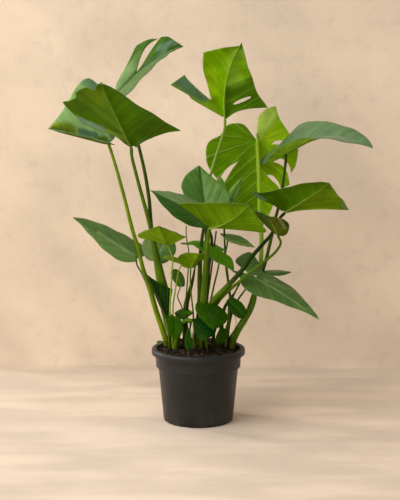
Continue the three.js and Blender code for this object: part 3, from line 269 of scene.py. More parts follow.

# Every leaf by its node: the joint with its stalk, the tip, and the widest reach of its two halves.
# Left and right only name the halves, and upperTurn tells which face looks up. arch lifts the middle
# of the midrib, lean slants a half along its length, vein is the slope of its side veins, hole is a
# gap between two of them, and bow is how far the midrib's middle bends to the left half. top and
# under are the colours of the left and right halves on each face, and they hold painted light: a
# glossy top is painted paler and bluer as painted sheen, and the leaves low in the plant are painted
# darker as painted shade. rib is the colour of the midrib standing out underneath, veins that of the
# veins and the rim, veinShow how clearly the side veins show, and shine how glossy the leaf is. The
# painted light marks on a face are strips of painted sheen, of painted glow through the blade and of
# painted shade, and some pale bluish ones stand in for a margin curled over: each has its half, its
# two ends as in a margin, its half width in mm and its colour.
# leaves on the soil: painted shade in their dark colours, midribs and veins, and little shine
groundShadeLook = dict(shine=0.1, rib=(30, 60, 2), veins=(44, 80, 10))
leaves = {
    "leaf_big_left": dict(
        joint=(-131, -40, 557), tip=(-178, -170, 681), left=dict(reach=(-260, -60, 642), margin=[
            (2, 10, 1), (6, 26), (0, 52), (-3, 74), (5, 89), (16.5, 100), (30, 83, 1), (43, 67),
            (48, 65, 1), (55, 60), (66, 48), (75, 35), (77, 28), (81, 17, 1), (88, 14), (96, 6)]),
        right=dict(reach=(-33, -90, 591), margin=[
            (0, 10, 1), (5, 22), (10, 42), (15, 74), (15, 100, 1), (24, 90), (41, 71), (58, 51), (77, 31),
            (92, 16)]),
        under=((66, 100, 0), (66, 104, 0)), veinShow=0.5, underPaintedLight=[
            ("left", (0, 84), (0, 62), 9, (114, 148, 118)),
            ("left", (2, 58), (4, 42), 9, (104, 134, 104)),
            ("left", (6, 34), (7, 10), 7, (102, 130, 44)),
            ("left", (24, 8), (46, 60), 8, (84, 114, 14)),
            ("left", (60, 30), (75, 18), 18, (88, 116, 2)),
            ("right", (5, 20), (14, 72), 3.5, (84, 112, 84)),
            ("right", (22, 40), (30, 72), 24, (56, 86, 0))]),
    "leaf_far_left": dict(
        joint=(-180, 20, 562), tip=(-294, -30, 593), left=dict(reach=(-231, -40, 580)),
        right=dict(reach=(-229, 60, 690), margin=[
            (-12, 10, 1), (-28, 45), (-15, 85), (2, 102), (18, 98), (39, 76), (62, 44), (80, 22)]),
        top=((96, 124, 80), (128, 167, 96)), topPaintedLight=[
            ("right", (100, 2), (62, 7), 13, (106, 128, 4)),
            ("right", (46, 8), (22, 8), 6, (72, 104, 80)),
            ("right", (20, 2), (4, 5), 5, (80, 112, 14)),
            ("right", (-10, 34), (-10, 12), 9, (82, 114, 82)),
            ("right", (12, 98), (-10, 80), 18, (90, 128, 88))]),
    "leaf_top_left": dict(
        joint=(-159, 10, 662), tip=(-30, 50, 754), arch=13, left=dict(reach=(-134, 60, 743), margin=[
            (-7, 25, 1), (-4, 48), (10, 70), (20, 106), (26, 107, 1), (39, 94), (57, 73, 1), (45, 73),
            (36, 66), (30, 42), (27, 8, 1), (37, 20), (49, 48), (60, 69), (64, 68, 1), (74, 55), (87, 28)]),
        right=dict(reach=(-108, -45, 692), margin=[
            (-3, 30, 1), (-9, 90), (0, 110), (15, 104), (40, 85), (60, 60), (85, 25)]),
        top=((58, 94, 2), (76, 104, 54)), shine=0.35, topPaintedLight=[
            ("left", (5, 30), (22, 42), 20, (108, 136, 82)),
            ("left", (27, 55), (26, 66), 9, (86, 118, 52)),
            ("left", (62, 30), (86, 24), 8, (86, 114, 88)),
            ("left", (40, 2), (72, 8), 6, (86, 112, 78)),
            ("right", (42, 12), (50, 10), 5, (98, 124, 8))]),
    "leaf_top_middle": dict(
        joint=(53, 0, 613), tip=(83, -70, 759), bow=13, left=dict(reach=(-53, -20, 680), margin=[
            (0, 5, 1), (3, 33), (6.5, 60), (10, 67, 1), (14, 101, 1), (33, 81, 1), (28, 72), (18, 40),
            (16, 29, 1), (34, 42), (50, 53), (69, 58, 1), (83, 31), (94, 3, 1)]),
        right=dict(reach=(135, -60, 635), hole=dict(ends=((19, 12), (29, 52)), width=8), margin=[
            (0, 5, 1), (8, 23), (13, 52), (15, 99, 1), (30, 72), (42, 57), (55, 43), (70, 27), (90, 8)]),
        under=((108, 154, 0), (58, 92, 0)), rib=(138, 176, 44), veinShow=2, underPaintedLight=[
            ("left", (30, 30), (45, 36), 16, (134, 176, 16)),
            ("left", (85, 6), (60, 4), 10, (118, 156, 34)),
            ("right", (80, 2), (52, 10), 20, (104, 144, 36)),
            ("right", (70, 18), (62, 30), 14, (90, 130, 4)),
            ("left", (26, 98), (17, 45), 15, (84, 116, 86)),
            ("left", (7, 66), (3, 20), 5, (116, 152, 30))]),
    "leaf_hanging_back": dict(
        joint=(120, 60, 563), tip=(127, 110, 370), left=dict(reach=(16, 80, 531), vein=0.5, margin=[
            (-3, 3, 1), (-10, 12), (-18.5, 24), (-20.5, 40), (-18.5, 57), (-8, 72), (-3, 90), (4, 99),
            (15, 100), (26, 96), (41, 78, 1), (28, 60), (20, 37, 1), (29, 50), (45, 68, 1), (55, 58),
            (74, 40), (91, 16)]),
        right=dict(reach=(205, 75, 548), margin=[
            (-10, -1, 1), (-18, 1), (-27, 6), (-33.5, 24), (-34.5, 46, 1), (-21, 55), (-10, 69),
            (-2, 80, 1), (3, 66), (2, 48), (5, 34, 1), (7, 55), (9, 85), (15, 100, 1), (26, 97), (34, 92),
            (40, 82, 1), (31, 77), (22, 58), (22, 26, 1), (28, 54), (38, 72), (52, 78, 1), (54, 58),
            (47, 50), (39, 36), (38, 22, 1), (44, 34), (55, 52), (70, 39), (86, 20)]),
        under=((94, 138, 0), (134, 180, 4)), rib=(148, 180, 50), veins=(200, 224, 110), veinShow=4,
        underPaintedLight=[
            ("right", (-12, 4), (-27, 28), 19, (190, 222, 100)),
            ("right", (-4, 30), (-4, 66), 14, (156, 192, 24))]),
    "leaf_arching_right": dict(
        joint=(176, 10, 541), tip=(341, -40, 556), arch=30,
        left=dict(reach=(196, -45, 574), lean=(0, 0, -62)), right=dict(reach=(212, 55, 601), margin=[
            (-6, 12, 1), (-20, 36), (-36, 50), (-40, 76), (-28, 80), (-14, 74), (-3, 91), (10, 102),
            (30, 84), (53, 56), (77, 40), (92, 28), (98, 12)]),
        top=((98, 122, 86), (86, 116, 74)), under=((132, 178, 34), (84, 106, 6)), topPaintedLight=[
            ("left", (2, 35), (16, 50), 8, (66, 92, 12)),
            ("left", (50, 10), (75, 30), 20, (110, 130, 98))]),
    "leaf_right": dict(
        joint=(172, -30, 429), tip=(249, -120, 494), left=dict(reach=(109, -40, 470), margin=[
            (0, 8, 1), (5, 40), (6, 80), (14, 105, 1), (20, 87), (38, 71), (56, 57), (74, 44), (94, 19)]),
        right=dict(reach=(294, -60, 436), margin=[
            (0, 5, 1), (8, 22), (14, 56), (15, 100, 1), (44, 68), (69, 36)]),
        under=((70, 106, 0), (92, 126, 2)), veinShow=0.6, underPaintedLight=[
            ("left", (10, 98), (6, 66), 5, (104, 132, 98)),
            ("right", (14, 98), (40, 68), 2.5, (98, 126, 84)),
            ("right", (5, 12), (14, 60), 6, (112, 148, 24))]),
    "leaf_centre_front": dict(
        joint=(21, -60, 401), tip=(96, -150, 455), arch=-8, left=dict(reach=(-39, -64, 449), margin=[
            (0, 8, 1), (10, 42), (13, 80), (15, 102, 1), (37, 90), (64, 64), (81, 42), (95, 16)]),
        right=dict(reach=(127, -110, 400), margin=[
            (-2, 10, 1), (4, 27), (8, 58), (11, 104, 1), (24, 96), (45, 70), (67, 44), (92, 11)]),
        under=((86, 118, 0), (90, 130, 0))),
    "leaf_centre_upright": dict(
        joint=(19, -8, 403), tip=(2, 36, 517), left=dict(reach=(-34, 8, 476), margin=[
            (-9, 5, 1), (-15, 35), (-4, 80), (9, 97), (20, 98), (48, 72), (82, 26)]),
        right=dict(reach=(61, 8, 456), margin=[
            (-9, 5, 1), (-12, 50), (8, 100), (25, 98), (55, 60), (86, 18)]),
        top=((65, 107, 26), (85, 124, 48))),
    "leaf_centre_back": dict(
        joint=(52, 25, 418), tip=(91, 50, 493), left=dict(reach=(42, 45, 489), margin=[
            (-9, 5, 1), (-16, 40), (0, 100), (9, 106), (20, 101), (30, 72), (34, 30, 1), (52, 26), (72, 17),
            (90, 6)]),
        right=dict(reach=(74, 32, 447)), top=((98, 138, 40), (76, 116, 30))),
    "leaf_centre_left": dict(
        joint=(15, -34, 422), tip=(-94, -62, 476), left=dict(reach=(-24, -72, 411)),
        right=dict(reach=(-16, -14, 456)), top=((42, 82, 10), (106, 134, 84))),
    "leaf_low_left": dict(
        joint=(-126, 15, 331), tip=(-250, -20, 418), left=dict(reach=(-162, -20, 332), margin=[
            (-5, 20, 1), (3, 67), (17, 97), (38, 86), (62, 52), (84, 17)]),
        right=dict(reach=(-138, 45, 366), margin=[
            (-5, 10, 1), (-12, 75), (0, 110), (15, 102), (33, 96), (66, 68), (88, 30)]),
        top=((96, 130, 66), (80, 116, 54)), topPaintedLight=[
            ("right", (5, 6), (60, 5), 4, (124, 150, 98))]),
    "leaf_small_bright": dict(
        joint=(-60, -40, 364), tip=(-76, -105, 411), left=dict(reach=(-119, -55, 386), margin=[
            (0, 8, 1), (9, 52), (4, 85), (14, 100), (42, 76), (69, 39)]),
        right=dict(reach=(-24, -70, 384), margin=[(0, 8, 1), (5, 40), (16, 101, 1), (50, 65), (73, 35)]),
        under=((114, 150, 0), (98, 134, 0))),
    "leaf_small_dark": dict(
        joint=(-84, 10, 330), tip=(-66, 40, 381), left=dict(reach=(-113, 20, 361)),
        right=dict(reach=(-46, 15, 343)), top=((108, 131, 70), (76, 112, 38))),
    "leaf_olive": dict(
        margin=rounded, joint=(-15, -10, 315), tip=(1, -50, 349), left=dict(reach=(-41, -20, 336)),
        right=dict(reach=(11, -20, 334)), under=((106, 140, 10), (96, 138, 2))),
    "leaf_olive_small": dict(
        margin=rounded, joint=(-32, -32, 326), tip=(-69, -47, 341), left=dict(reach=(-48, -42, 332)),
        right=dict(reach=(-46, -26, 339)), top=((108, 138, 6), (114, 144, 4))),
    "leaf_arching_small": dict(
        joint=(42, -2, 350), tip=(-33, -22, 364), arch=4,
        left=dict(reach=(13, -40, 346), lean=(0, 0, 26), margin=[
            (-10, 5, 1), (-42, 30), (-60, 85, 1), (-30, 90), (-5, 100), (25, 88), (60, 50), (95, 26)]),
        right=dict(reach=(16, 22, 364), margin=[(-10, 5, 1), (-30, 50), (-10, 100), (28, 90), (72, 40)]),
        top=((80, 130, 0), (80, 142, 0)), shine=0.3),
    "leaf_narrow_back": dict(
        joint=(60, 20, 369), tip=(115, 10, 353), left=dict(reach=(81, 45, 373), margin=[
            (-10, 5, 1), (-38, 40), (-20, 75), (10, 100), (42, 86), (74, 42), (90, 13)]),
        right=dict(reach=(76, -5, 362)), top=((84, 120, 52), (110, 130, 64))),
    "leaf_low_right": dict(
        joint=(108, -10, 298), tip=(238, -70, 221), arch=6,
        left=dict(reach=(124, 35, 320), hole=dict(ends=((3, 6), (12, 10)), width=5), margin=[
            (-10, 15, 1), (-24, 35), (-15, 85), (0, 125), (9, 120), (16, 85), (20, 50, 1), (36, 61),
            (55, 68), (77, 55), (92, 25)]),
        right=dict(reach=(94, -55, 277), margin=[
            (-9, 5, 1), (-25, 22), (-10, 40), (2, 75), (17, 100), (32, 93), (62, 50), (87, 14)]),
        top=((68, 98, 42), (66, 98, 38)), veinShow=2, topPaintedLight=[
            ("right", (8, 5), (80, 6), 4, (118, 144, 92)),
            ("left", (20, 10), (50, 30), 4, (92, 120, 66))]),
    "leaf_thin_right": dict(
        joint=(138, 20, 301), tip=(189, 10, 302), left=dict(reach=(160, 48, 301)),
        right=dict(reach=(157, 4, 296)), top=((56, 92, 24), (48, 84, 20))),
    "leaf_folded_right": dict(
        joint=(157, -35, 385), tip=(134, -100, 430), left=dict(reach=(113, -45, 428)),
        right=dict(reach=(177, -55, 409)), under=((62, 86, 0), (80, 94, 6)), underPaintedLight=[
            ("right", (5, 62), (60, 60), 3, (122, 130, 88)),
            ("right", (10, 100), (50, 90), 5, (38, 58, 4))]),
    "leaf_hanging_left": dict(
        joint=(-65, -22, 215), tip=(-104, -34, 307), left=dict(reach=(-84, -38, 268)),
        right=dict(reach=(-51, -22, 271), margin=[(0, 10, 1), (5, 50), (17, 102, 1), (45, 62), (80, 20)]),
        top=((30, 56, 0), (28, 56, 0)), under=((28, 52, 0), (28, 52, 0)), shine=0.2, rib=(28, 50, 2)),
    "leaf_round_left": dict(
        margin=rounded, joint=(-35, -15, 279), tip=(-49, -8, 312), left=dict(reach=(-52, -10, 292)),
        right=dict(reach=(-28, -10, 294)), top=((50, 78, 0), (54, 80, 0)), shine=0.4),
    "leaf_ground_dark": dict(
        margin=rounded, joint=(-44, 5, 214), tip=(-11, -8, 222), left=dict(reach=(-36, 22, 224)),
        right=dict(reach=(-37, -18, 211)), top=((54, 92, 4), (36, 68, 2)), **groundShadeLook),
    "leaf_ground_left": dict(
        margin=rounded, joint=(-47, -24, 215), tip=(-48, -56, 178), left=dict(reach=(-31, -38, 200)),
        right=dict(reach=(-62, -36, 210)), top=((42, 74, 0), (48, 82, 0)), **groundShadeLook),
    "leaf_ground_front": dict(
        margin=rounded, joint=(-11, -35, 211), tip=(20, -72, 184), left=dict(reach=(29, -46, 211)),
        right=dict(reach=(-6, -60, 187)), top=((14, 47, 0), (32, 60, 0)), **groundShadeLook),
    "leaf_ground_broad": dict(
        joint=(15, -45, 241), tip=(30, -75, 199), left=dict(reach=(58, -52, 226)),
        right=dict(reach=(-5, -52, 236)), top=((36, 64, 0), (43, 75, 0)), **groundShadeLook),
    "leaf_ground_right": dict(
        margin=rounded, joint=(61, -35, 252), tip=(91, -62, 223), left=dict(reach=(85, -38, 250)),
        right=dict(reach=(65, -52, 233)), top=((34, 63, 0), (30, 56, 0)), **groundShadeLook),
    "leaf_ground_tip": dict(
        joint=(-18, -50, 196), tip=(-21, -68, 155), left=dict(reach=(-11, -58, 177)),
        right=dict(reach=(-27, -58, 177)), top=((30, 64, 1), (36, 68, 0)), **groundShadeLook),
    "leaf_ground_short": dict(
        margin=rounded, joint=(48, -20, 192), tip=(42, -32, 165), left=dict(reach=(58, -24, 178)),
        right=dict(reach=(36, -24, 178)), top=((46, 82, 0), (56, 88, 0)), **groundShadeLook),
    "leaf_seedling": dict(
        margin=rounded, joint=(-72, 8, 159), tip=(-84, 8, 156), left=dict(reach=(-78, -2, 156)),
        right=dict(reach=(-81, 18, 159)), top=((48, 72, 4), (34, 46, 4))),
}
plain = {"top": ((58, 88, 34), (58, 88, 34)), "under": ((78, 104, 10), (78, 104, 10))}
veinColours = {"top": (128, 156, 96), "under": (146, 172, 60)}
ribColour = (114, 138, 34)
signOf = {"left": 1, "right": -1}  # the sign of y in the flat blade


def smoothRun(run, scale, step):
    # a smooth curve through the points of one run, its points a step apart at most
    last = len(run) - 1
    points = []
    for place in range(last):
        before, here, there, after = (run[max(0, min(last, place + move))] for move in (-1, 0, 1, 2))
        length = (Vector((there[0] * scale[0], there[1] * scale[1]))
                  - Vector((here[0] * scale[0], here[1] * scale[1]))).length
        steps = max(1, math.ceil(length / step))
        for part in range(steps):
            way = part / steps
            point = []
            for axis in (0, 1):
                slopeHere = (there[axis] - before[axis]) / 2
                slopeThere = (after[axis] - here[axis]) / 2
                rise = here[axis] - there[axis]
                point.append((2 * rise + slopeHere + slopeThere) * way ** 3
                             - (3 * rise + 2 * slopeHere + slopeThere) * way ** 2
                             + slopeHere * way + here[axis])
            points.append(tuple(point))
    return points + [run[-1]]


def marginCurve(margin, scale, step):
    # the runs between two corners, each one smooth, from the joint round to the tip
    points, run = [], []
    for along, across, *corner in margin + [(100, 0, 1)]:
        run.append((along / 100, across / 100))
        if corner and len(run) > 1:
            points += smoothRun(run, scale, step)[1 if points else 0:]
        if corner:
            run = run[-1:]
    return points


def midribPoint(leaf, along):
    # a parabola from the joint to the tip, its middle lifted by arch, straight on behind the joint
    joint, tip = Vector(leaf["joint"]), Vector(leaf["tip"])
    knee = (joint + tip) / 2 + Vector((0, 0, 2 * leaf.get("arch", 0)))
    if along < 0:
        return joint + (knee - joint) * 2 * along
    return joint * (1 - along) ** 2 + knee * 2 * along * (1 - along) + tip * along ** 2


def lengthOf(leaf):
    return (Vector(leaf["tip"]) - Vector(leaf["joint"])).length


def reliefOf(leaf):
    return min(1.0, lengthOf(leaf) / bladeForm["fullRelief"])


def halfReach(leaf, side):
    return Vector(leaf[side]["reach"]) - midribPoint(leaf, bladeForm["widest"])


def bladePoint(leaf, side, along, across):
    lean = Vector(leaf[side].get("lean", (0, 0, 0))) * (along - bladeForm["widest"])
    return midribPoint(leaf, along) + (halfReach(leaf, side) + lean) * across


def upperTurn(leaf):
    # 1 where the left half is on the left seen from above, -1 where it is on the right
    spine = midribPoint(leaf, 0.5) - midribPoint(leaf, 0.1)
    return 1 if spine.cross(Vector(leaf["left"]["reach"]) - Vector(leaf["right"]["reach"])).z > 0 else -1


def veinPlace(along, across, slope, length, width):
    # where along the midrib the side vein through a point starts; behind the joint they fan out
    shift = slope * across ** bladeForm["veinCurve"]
    if along >= shift:
        return along - shift
    turned = math.atan2(across * width, along * length) - math.atan2(across * width, shift * length)
    return -bladeForm["veinFan"] * turned


def paintAt(leaf, face, side, along, across, length, width):
    # the colour of a face at one point: its half's colour, which holds painted light, under its marks of
    # painted sheen, painted glow and painted shade
    colour = Vector(linear(*leaf.get(face, plain[face])[side == "right"])[:3])
    # each mark is painted light: painted sheen, painted glow through the blade and painted shade
    for markSide, start, end, reach, shade in leaf.get(face + "PaintedLight", ()):
        if markSide != side:
            continue
        spot = Vector((along * length, across * width))
        first, last = (Vector((place[0] / 100 * length, place[1] / 100 * width)) for place in (start, end))
        closest, share = geometry.intersect_point_line(spot, first, last)
        closest = first.lerp(last, min(1, max(0, share)))
        distance = (spot - closest.to_2d()).length / reach
        amount = min(1, max(0, 1.6 - 1.1 * distance))
        colour = colour.lerp(Vector(linear(*shade)[:3]), amount * amount * (3 - 2 * amount))
    return (*colour, 1)


def insideOf(point, ring):
    x, y = point
    inside = False
    for (ax, ay), (bx, by) in zip(ring, ring[1:] + ring[:1]):
        if (ay > y) != (by > y) and x < ax + (bx - ax) * (y - ay) / (by - ay):
            inside = not inside
    return inside


def treeOf(points):
    tree = kdtree.KDTree(len(points))
    for index, (x, y) in enumerate(points):
        tree.insert((x, y, 0), index)
    tree.balance()
    return tree


def holeRing(hole, scale, sign):
    # an oval gap along the side veins
    start, end = (Vector((along / 100 * scale[0], sign * across / 100 * scale[1]))
                  for along, across in hole["ends"])
    long = (end - start) / 2
    wide = Vector((-long.y, long.x)).normalized() * hole["width"] / 2
    middle = (start + end) / 2
    sides = bladeForm["holeSides"]
    turns = [2 * math.pi * step / sides for step in range(sides)]
    return [tuple(middle + long * math.cos(turn) + wide * math.sin(turn)) for turn in turns]


def flatBlade(leaf, length, widths, step):
    # the blade's outline and points, flat: x along the leaf, y to its left half, in millimetres
    ring, holes = [(0, 0)], []
    for side, sign in signOf.items():
        scale = (length, widths[side])
        margin = marginCurve(leaf[side].get("margin", leaf.get("margin", heart)), scale, step)
        run = [(along * scale[0], sign * across * scale[1]) for along, across in margin]
        ring += run if sign > 0 else run[-2::-1]
        if "hole" in leaf[side]:
            holes.append(holeRing(leaf[side]["hole"], scale, sign))
    border = ring + [point for hole in holes for point in hole]
    borderTree = treeOf(border)
    spineSteps = math.ceil(length / step)
    spine = [(length * place / spineSteps, 0) for place in range(spineSteps + 1)]
    rows = [row * step for row in bladeForm["grooveRows"]]
    points = [(x, sign * row) for x, _ in spine for row in rows for sign in (1, -1)]
    # a grid wide enough for the margins, which reach beyond 1 across and behind the joint
    lines = range(-math.ceil(1.4 * widths["right"] / step), math.ceil(1.4 * widths["left"] / step) + 1)
    columns = range(-math.ceil(0.5 * length / step), spineSteps + 1)
    for line in lines:
        y = line * step * bladeForm["gridRow"]
        points += [((column + 0.5 * (line % 2)) * step, y) for column in columns]
    clear = bladeForm["clearOfRib"] * step
    points = [(x, y) for x, y in points if not (abs(y) < clear and abs(y) not in rows and 0 <= x <= length)]
    clear = bladeForm["clearOfMargin"] * step
    points = [point for point in points if borderTree.find((*point, 0))[2] > clear
              and insideOf(point, ring) and not any(insideOf(point, hole) for hole in holes)]
    corners = [Vector(point) for point in border + spine + points]
    edges = [(place, (place + 1) % len(ring)) for place in range(len(ring))]
    start = len(ring)
    for hole in holes:
        edges += [(start + place, start + (place + 1) % len(hole)) for place in range(len(hole))]
        start += len(hole)
    edges += [(start + place, start + place + 1) for place in range(len(spine) - 1)]
    spots, _, faces, *_ = geometry.delaunay_2d_cdt(corners, edges, [], 1, 0.01)
    kept = []
    for face in faces:
        middle = sum((spots[index] for index in face), Vector((0, 0))) / len(face)
        if not any(insideOf(middle, hole) for hole in holes) and insideOf(middle, ring):
            kept.append(face)
    return spots, kept, borderTree


def makeBlade(node, leaf, seed):
    # the outline is filled flat, laid on the two halves' planes, and raised by its veins and waves
    draw = random.Random(seed)
    phase = {side: draw.uniform(0, bladeForm["wavePhase"]) for side in signOf}
    length = lengthOf(leaf)
    widths = {side: halfReach(leaf, side).length for side in signOf}
    step = min(bladeForm["grid"], max(bladeForm["finest"], length / bladeForm["gridSteps"]))
    veins = max(bladeForm["fewestVeins"], round(length / bladeForm["veinStep"]))
    size = reliefOf(leaf)
    spots, faces, borderTree = flatBlade(leaf, length, widths, step)

    def sideOf(y):
        return "left" if y > 0 else "right"

    def measured(x, y, side):
        along, across = x / length, abs(y) / widths[side]
        slope = leaf[side].get("vein", bladeForm["veinSlope"])
        vein = veinPlace(along, across, slope, length, widths[side]) * veins
        fromRib = math.hypot(min(x, 0), y)
        toEdge = borderTree.find((x, y, 0))[2]
        share = fromRib / (fromRib + toEdge) if fromRib + toEdge > 0 else 0.0
        return along, across, vein, fromRib, share

    form = bmesh.new()
    upward = upperTurn(leaf)
    used = sorted({index for face in faces for index in face})
    vertices = {}
    for index in used:
        x, y = spots[index]
        side = sideOf(y)
        vertices[index] = form.verts.new(bladePoint(leaf, side, x / length, abs(y) / widths[side]))
    bladeMap = form.loops.layers.uv.new("blade")
    formMap = form.loops.layers.uv.new("form")
    paints = {face: form.loops.layers.float_color.new(skins[face]["paint"]) for face in plain}
    for face in faces:
        first, second, third = (spots[index] for index in face)
        if (second - first).cross(third - first) * upward < 0:
            face = face[::-1]
        side = sideOf(sum(spots[index].y for index in face))
        made = form.faces.new([vertices[index] for index in face])
        made.smooth = True
        for loop, index in zip(made.loops, face):
            x, y = spots[index]
            along, across, vein, fromRib, share = measured(x, y, side)
            loop[bladeMap].uv = (vein, fromRib / 100)
            loop[formMap].uv = (along, share if side == "right" else -share)
            for facing, paint in paints.items():
                loop[paint] = paintAt(leaf, facing, side, along, across, length, widths[side])
    form.normal_update()
    bow = halfReach(leaf, "left").normalized() * leaf.get("bow", 0)
    moves = {}
    for index in used:
        x, y = spots[index]
        side = sideOf(y)
        along, _, vein, fromRib, share = measured(x, y, side)
        toTip = max(0, 1 - along)
        bulge = bladeForm["bulge"] * widths[side] * math.sin(math.pi * share)
        quilt = size * bladeForm["quilt"] * (abs(math.sin(math.pi * vein)) ** bladeForm["quiltPower"] - 1)
        quilt *= min(1, 3 * share) * min(1, 4 * (1 - share))
        keelShare = fromRib / (bladeForm["keelWidth"] * size + 0.4)
        keel = -size * bladeForm["keel"] * math.exp(-keelShare ** 2) * min(1, 6 * toTip)
        turn = 2 * math.pi * bladeForm["waves"] * along + phase[side]
        wave = bladeForm["wave"] * length * math.sin(turn) * share ** 3 * min(1, 5 * toTip)
        moves[index] = vertices[index].normal * (bulge + quilt + keel + wave)
        place = min(1, max(0, along))
        moves[index] += bow * 4 * place * (1 - place) * (1 - share)
    spine = sorted((spots[index].x, index) for index in used if abs(spots[index].y) < 0.01)
    for index, move in moves.items():
        vertices[index].co += move
    form.normal_update()
    ribs = [(x / length, vertices[index].co.copy(), vertices[index].normal.copy()) for x, index in spine]
    for vertex in form.verts:
        vertex.co *= mm
    mesh = bpy.data.meshes.new(plainName(node) + "_leaf")
    form.to_mesh(mesh)
    form.free()
    piece = bpy.data.objects.new(mesh.name, mesh)
    bpy.context.collection.objects.link(piece)
    for face, veinColour in veinColours.items():
        skin = leafSkin(plainName(node) + " " + face, face, leaf.get("veins", veinColour),
                        leaf.get("veinShow", 1), leaf.get("shine", 1))
        mesh.materials.append(skin)
    applyModifier(piece, "SOLIDIFY", thickness=bladeForm["thickness"] * mm, offset=0.0, material_offset=1,
                  material_offset_rim=0)
    return piece, ribs


def makeTube(name, points, radii, skin, sides=3):
    # a closed tube through points in millimetres, with a radius for each
    bpy.ops.curve.primitive_bezier_curve_add()
    tube = bpy.context.object
    spline = tube.data.splines[0]
    spline.bezier_points.add(len(points) - 2)
    for spot, place, radius in zip(spline.bezier_points, points, radii):
        spot.co = place * mm
        spot.radius = radius * mm
        spot.handle_left_type = spot.handle_right_type = "AUTO"
    tube.data.resolution_u = 6
    tube.data.bevel_depth = 1.0  # each point's radius is the real one
    tube.data.bevel_resolution = sides
    tube.data.use_fill_caps = True
    bpy.ops.object.convert(target="MESH")
    tube = bpy.context.object
    bpy.ops.object.shade_smooth()
    tube.name = name
    tube.data.materials.clear()
    tube.data.materials.append(skin)
    return tube


def makeRib(node, leaf, ribs, stalkEnd):
    # the midrib standing out under the blade, from the stalk's end to near the tip
    picked = [entry for entry in ribs if entry[0] <= bladeForm["ribEnd"]][::3]
    gap = 0.1 * reliefOf(leaf)
    points, radii = [], []
    for along, place, normal in picked:
        taper = (1 - along / bladeForm["ribEnd"]) ** 0.8
        radius = max(bladeForm["ribLeast"], stalkEnd * bladeForm["ribShare"] * taper)
        points.append(place - normal * (bladeForm["thickness"] / 2 + radius * 0.35 + gap))
        radii.append(radius)
    skin = ribSkin(plainName(node) + " midrib", leaf.get("rib", ribColour))
    return makeTube(node + " midrib", points, radii, skin, 2)


stalkForm = {
    "soil": 148,  # height of the soil
    "sunk": 20,  # how far a stalk's foot is under it
    "swelling": 1.08,  # of the stalk just under the blade
    "jointWay": 0.6,  # where it swells, as a share of the way from the last point to the joint
    "earthy": (0.155, 0.185),  # heights in metres between which the soil's brown fades out
    "earthColour": (74, 66, 26),
}

# Two colours in patches and, in some, a third one that comes in between two heights in metres.
stalkShades = {
    "bright": ((112, 136, 0), (86, 112, 0)),
    "green": ((62, 92, 0), (78, 104, 8)),
    "dark": ((40, 62, 0), (54, 76, 6)),
    "pale": ((112, 146, 36), (124, 154, 52), (138, 170, 40), 0.38, 0.46),
    "tall": ((50, 78, 0), (66, 92, 4), (124, 152, 62), 0.42, 0.5),
    # the third colour of shaded, dark on the stalk's upper part under the leaves, is painted shade
    "shaded": ((70, 102, 0), (84, 112, 8), (26, 48, 0), 0.26, 0.31),
    "dry": ((176, 166, 138), (198, 190, 160)),
}

